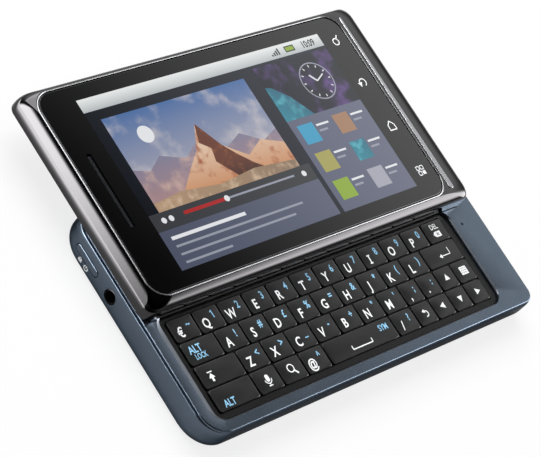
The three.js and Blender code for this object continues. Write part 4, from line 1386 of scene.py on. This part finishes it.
def lit(name, colour, high_colour=None, start=None, end=None, cloud=None, cloud_size=None):
    """A colour of the lit panel behind glass. It may run to another one between two places on the
    page, with soft clouds of a third that are so many millimetres across."""
    material, tree, shader = shaded("lit_" + name, "#000000", 0.06, IOR=1.52,
                                    Emission_Color=linear(colour), Emission_Strength=PAGE_GLOW)
    if not high_colour:
        return material
    at = add(tree, "TexCoord")
    first, last = (screen_at + Vector(place) * MM for place in (start, end))
    along = last - first
    from_start = add(tree, "VectorMath", {"operation": "SUBTRACT", 1: (*first, 0)},
                     {0: at.outputs["Object"]})
    run = add(tree, "VectorMath", {
        "operation": "DOT_PRODUCT", 1: (*(along / along.length_squared), 0)},
        {0: from_start.outputs[0]})
    colours = add(tree, "Mix", {
        "data_type": "RGBA", 6: linear(colour), 7: linear(high_colour)},
        {0: run.outputs["Value"]})
    result = colours.outputs[2]
    if cloud:
        puffs = add(tree, "TexNoise", {"Scale": per_metre(cloud_size), "Detail": 5.0},
                    {"Vector": at.outputs["Object"]})
        soft = add(tree, "MapRange", {
            "interpolation_type": "SMOOTHSTEP", "From Min": 0.48, "From Max": 0.75},
            {"Value": puffs.outputs["Fac"]})
        mixed = add(tree, "Mix", {"data_type": "RGBA", 7: linear(cloud)},
                    {0: soft.outputs["Result"], 6: result})
        result = mixed.outputs[2]
    tree.links.new(result, shader.inputs["Emission Color"])
    return material


page_colours = {
    "navy": ("#0b0f17", "#16202f", (-half_long, -half_wide), (half_long, half_wide)),
    "status": ("#b9bfc2", "#eef1f0", (0, bar_low), (0, half_wide)),
    "sky": ("#a9a9b6", "#4a6ea4", (0, PICTURE.near + 6), (0, PICTURE.far), "#c9c4c8", 9.0),
    "far_hills": ("#b08a86", "#7c7f9a", (0, PICTURE.near), (0, PICTURE.near + 14), "#c8a9a0", 5.0),
    "sunlit": ("#c98758", "#e2c3a8", (0, PICTURE.near), (0, PICTURE.near + 12), "#a5583a", 3.0),
    "near_ridge": ("#2e2220", "#6b3d2e", (0, PICTURE.near), (0, PICTURE.near + 7), "#8a5236", 2.0),
    "sand": ("#b5977a", "#8d7560", (PICTURE.left, 0), (PICTURE.right, 0), "#cdb296", 2.5),
    "slate": ("#4e5468", "#666b80", (-half_long, -half_wide), (half_long, 0)),
    "dim": ("#3a3c40",),
    "white": ("#e9ebee",),
    "grey": ("#9a9eac",),
    "red": ("#b0292a",),
    "green": ("#8fae3a",),
    "ink": ("#202428",),
    "glow": ("#15192b", "#0d1220", (COLUMN_LEFT, COLUMN_SPLIT), (half_long, bar_low),
             "#6c4d93", 7.0),
    "teal": ("#2f8ea0", "#22335c", (COLUMN_LEFT, COLUMN_SPLIT),
             (COLUMN_LEFT + 12, COLUMN_SPLIT + 12), "#58b6c4", 4.0),
    "water": ("#3f9fc6",),
    "leaf": ("#a9a35a",),
    "dusk": ("#a77f63",),
}
colours = [lit(name, *how) for name, how in page_colours.items()]
number_of = {name: number for number, name in enumerate(page_colours)}
PAGE_WHITE, PAGE_GREY = number_of["white"], number_of["grey"]
page = Drawing()


def block(left, right, near, far, colour, layer):
    page.box(left, right, near, far, number_of[colour], layer)


def patch(points, colour, layer):
    page.shape(points, number_of[colour], layer)


def on_page(point, layer):
    return on_glass(screen_at + point * MM, layer)


block(-half_long, half_long, -half_wide, half_wide, "navy", 0)
block(-half_long, half_long, bar_low, half_wide, "status", 1)
block(*PICTURE, "sky", 1)
# The landscape: far hills, a sunlit slope, a dark ridge before it and a sandy shore
patch([(-37.5, -8.5), (9.5, -8.5), (9.5, 2.5), (4, 0.5), (-2, 4), (-8, 1.5), (-15, 5.5), (-21, 2),
       (-28, 4.5), (-33, 1.5), (-37.5, 3)], "far_hills", 2)
patch([(-30, -8.5), (9.5, -8.5), (9.5, -1.5), (3, 1.0), (-3, -2.0), (-9, 2.5), (-13, 9.5),
       (-17, 3), (-22, -1), (-26, -4.5)], "sunlit", 3)
patch([(-13, 9.5), (-15, 4.6), (-12.5, 2.5), (-13.5, -1), (-9.5, -6), (-4, -8.5), (3, -8.5),
       (-3, -4), (-6, -1), (-9, 2.5)], "near_ridge", 4)
patch([(-37.5, -8.5), (9.5, -8.5), (9.5, -6.5), (-4, -5.4), (-16, -6.6), (-28, -5.2),
       (-37.5, -6.2)], "sand", 5)
page.disc((-28, 10.5), 2.3, PAGE_WHITE, 2)
# The slider under the picture, with three round buttons
block(-half_long, COLUMN_LEFT, SLIDER_FOOT, PICTURE.near, "dim", 1)
block(-31, 6, -10.6, -10.1, "grey", 2)
block(-31, -17, -10.8, -9.9, "red", 3)
page.disc((-17, -10.35), 0.8, PAGE_WHITE, 4)
for x in (-37.5, -35.2, 9.3):
    page.disc((x, -10.6), 0.75, PAGE_WHITE, 2)
# Lines of copy as plain bars, the first one bolder
block(-half_long, COLUMN_LEFT, -half_wide, SLIDER_FOOT, "slate", 1)
for row, length in enumerate(COPY_LENGTHS):
    y = -15.2 - row * 2.1
    reach = TEXT_LINE * (0.5 if row else 0.8)
    block(COPY_LEFT, COPY_LEFT + length, y - reach, y + reach, "grey" if row else "white", 2)
# The clock in the dark upper panel of the right column
block(COLUMN_LEFT + 1.5, half_long, COLUMN_SPLIT, bar_low - 0.8, "glow", 1)
patch([(14, 3), (24, 3), (20, 9), (16, 12.5), (14, 13)], "teal", 2)
clock_at = Vector((31.5, 11))
page.arc(clock_at, 5.2, 0.35, 0, 360, PAGE_GREY, 3)
for hour in range(12):
    spoke = Vector((math.cos(math.radians(30 * hour)), math.sin(math.radians(30 * hour))))
    page.bar(clock_at + spoke * 4.0, clock_at + spoke * 4.7, 0.3, PAGE_WHITE, 3)
page.bar(clock_at, clock_at + Vector((-1.6, 2.0)), 0.5, PAGE_WHITE, 4)
page.bar(clock_at, clock_at + Vector((3.0, 1.4)), 0.35, PAGE_WHITE, 4)
# Tiles and their captions below it
block(COLUMN_LEFT + 1.5, half_long, -half_wide, COLUMN_SPLIT, "slate", 1)
for number, tile in enumerate(TILES):
    left = 16.0 + number % 2 * 12.6
    low = -4.2 - number // 2 * 8.0
    block(left, left + TILE, low, low + TILE, tile, 2)
    for line in range(2):
        y = low + 4.2 - line * 1.6
        block(left + 6.2, left + 10.6 - line * 1.4, y - TEXT_LINE / 2, y + TEXT_LINE / 2,
              "grey" if line else "white", 2)
# Status signs: a clock time, a charge and a signal
page.lettering("10:09", (36.2, half_wide - STATUS_HEIGHT / 2), 1.9, number_of["ink"], 2)
block(27.6, 31.0, half_wide - 2.6, half_wide - 0.9, "ink", 2)
block(27.9, 30.7, half_wide - 2.3, half_wide - 1.2, "green", 3)
for step in range(4):
    left = 22.6 + step * 0.8
    block(left, left + 0.5, half_wide - 2.7, half_wide - 2.2 + step * 0.45, "ink", 2)

place("screen_page", drawn("screen_page", page, on_page), colours, "display", "screen")

# Size: the box round the visual model, without the floor.

low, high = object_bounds()
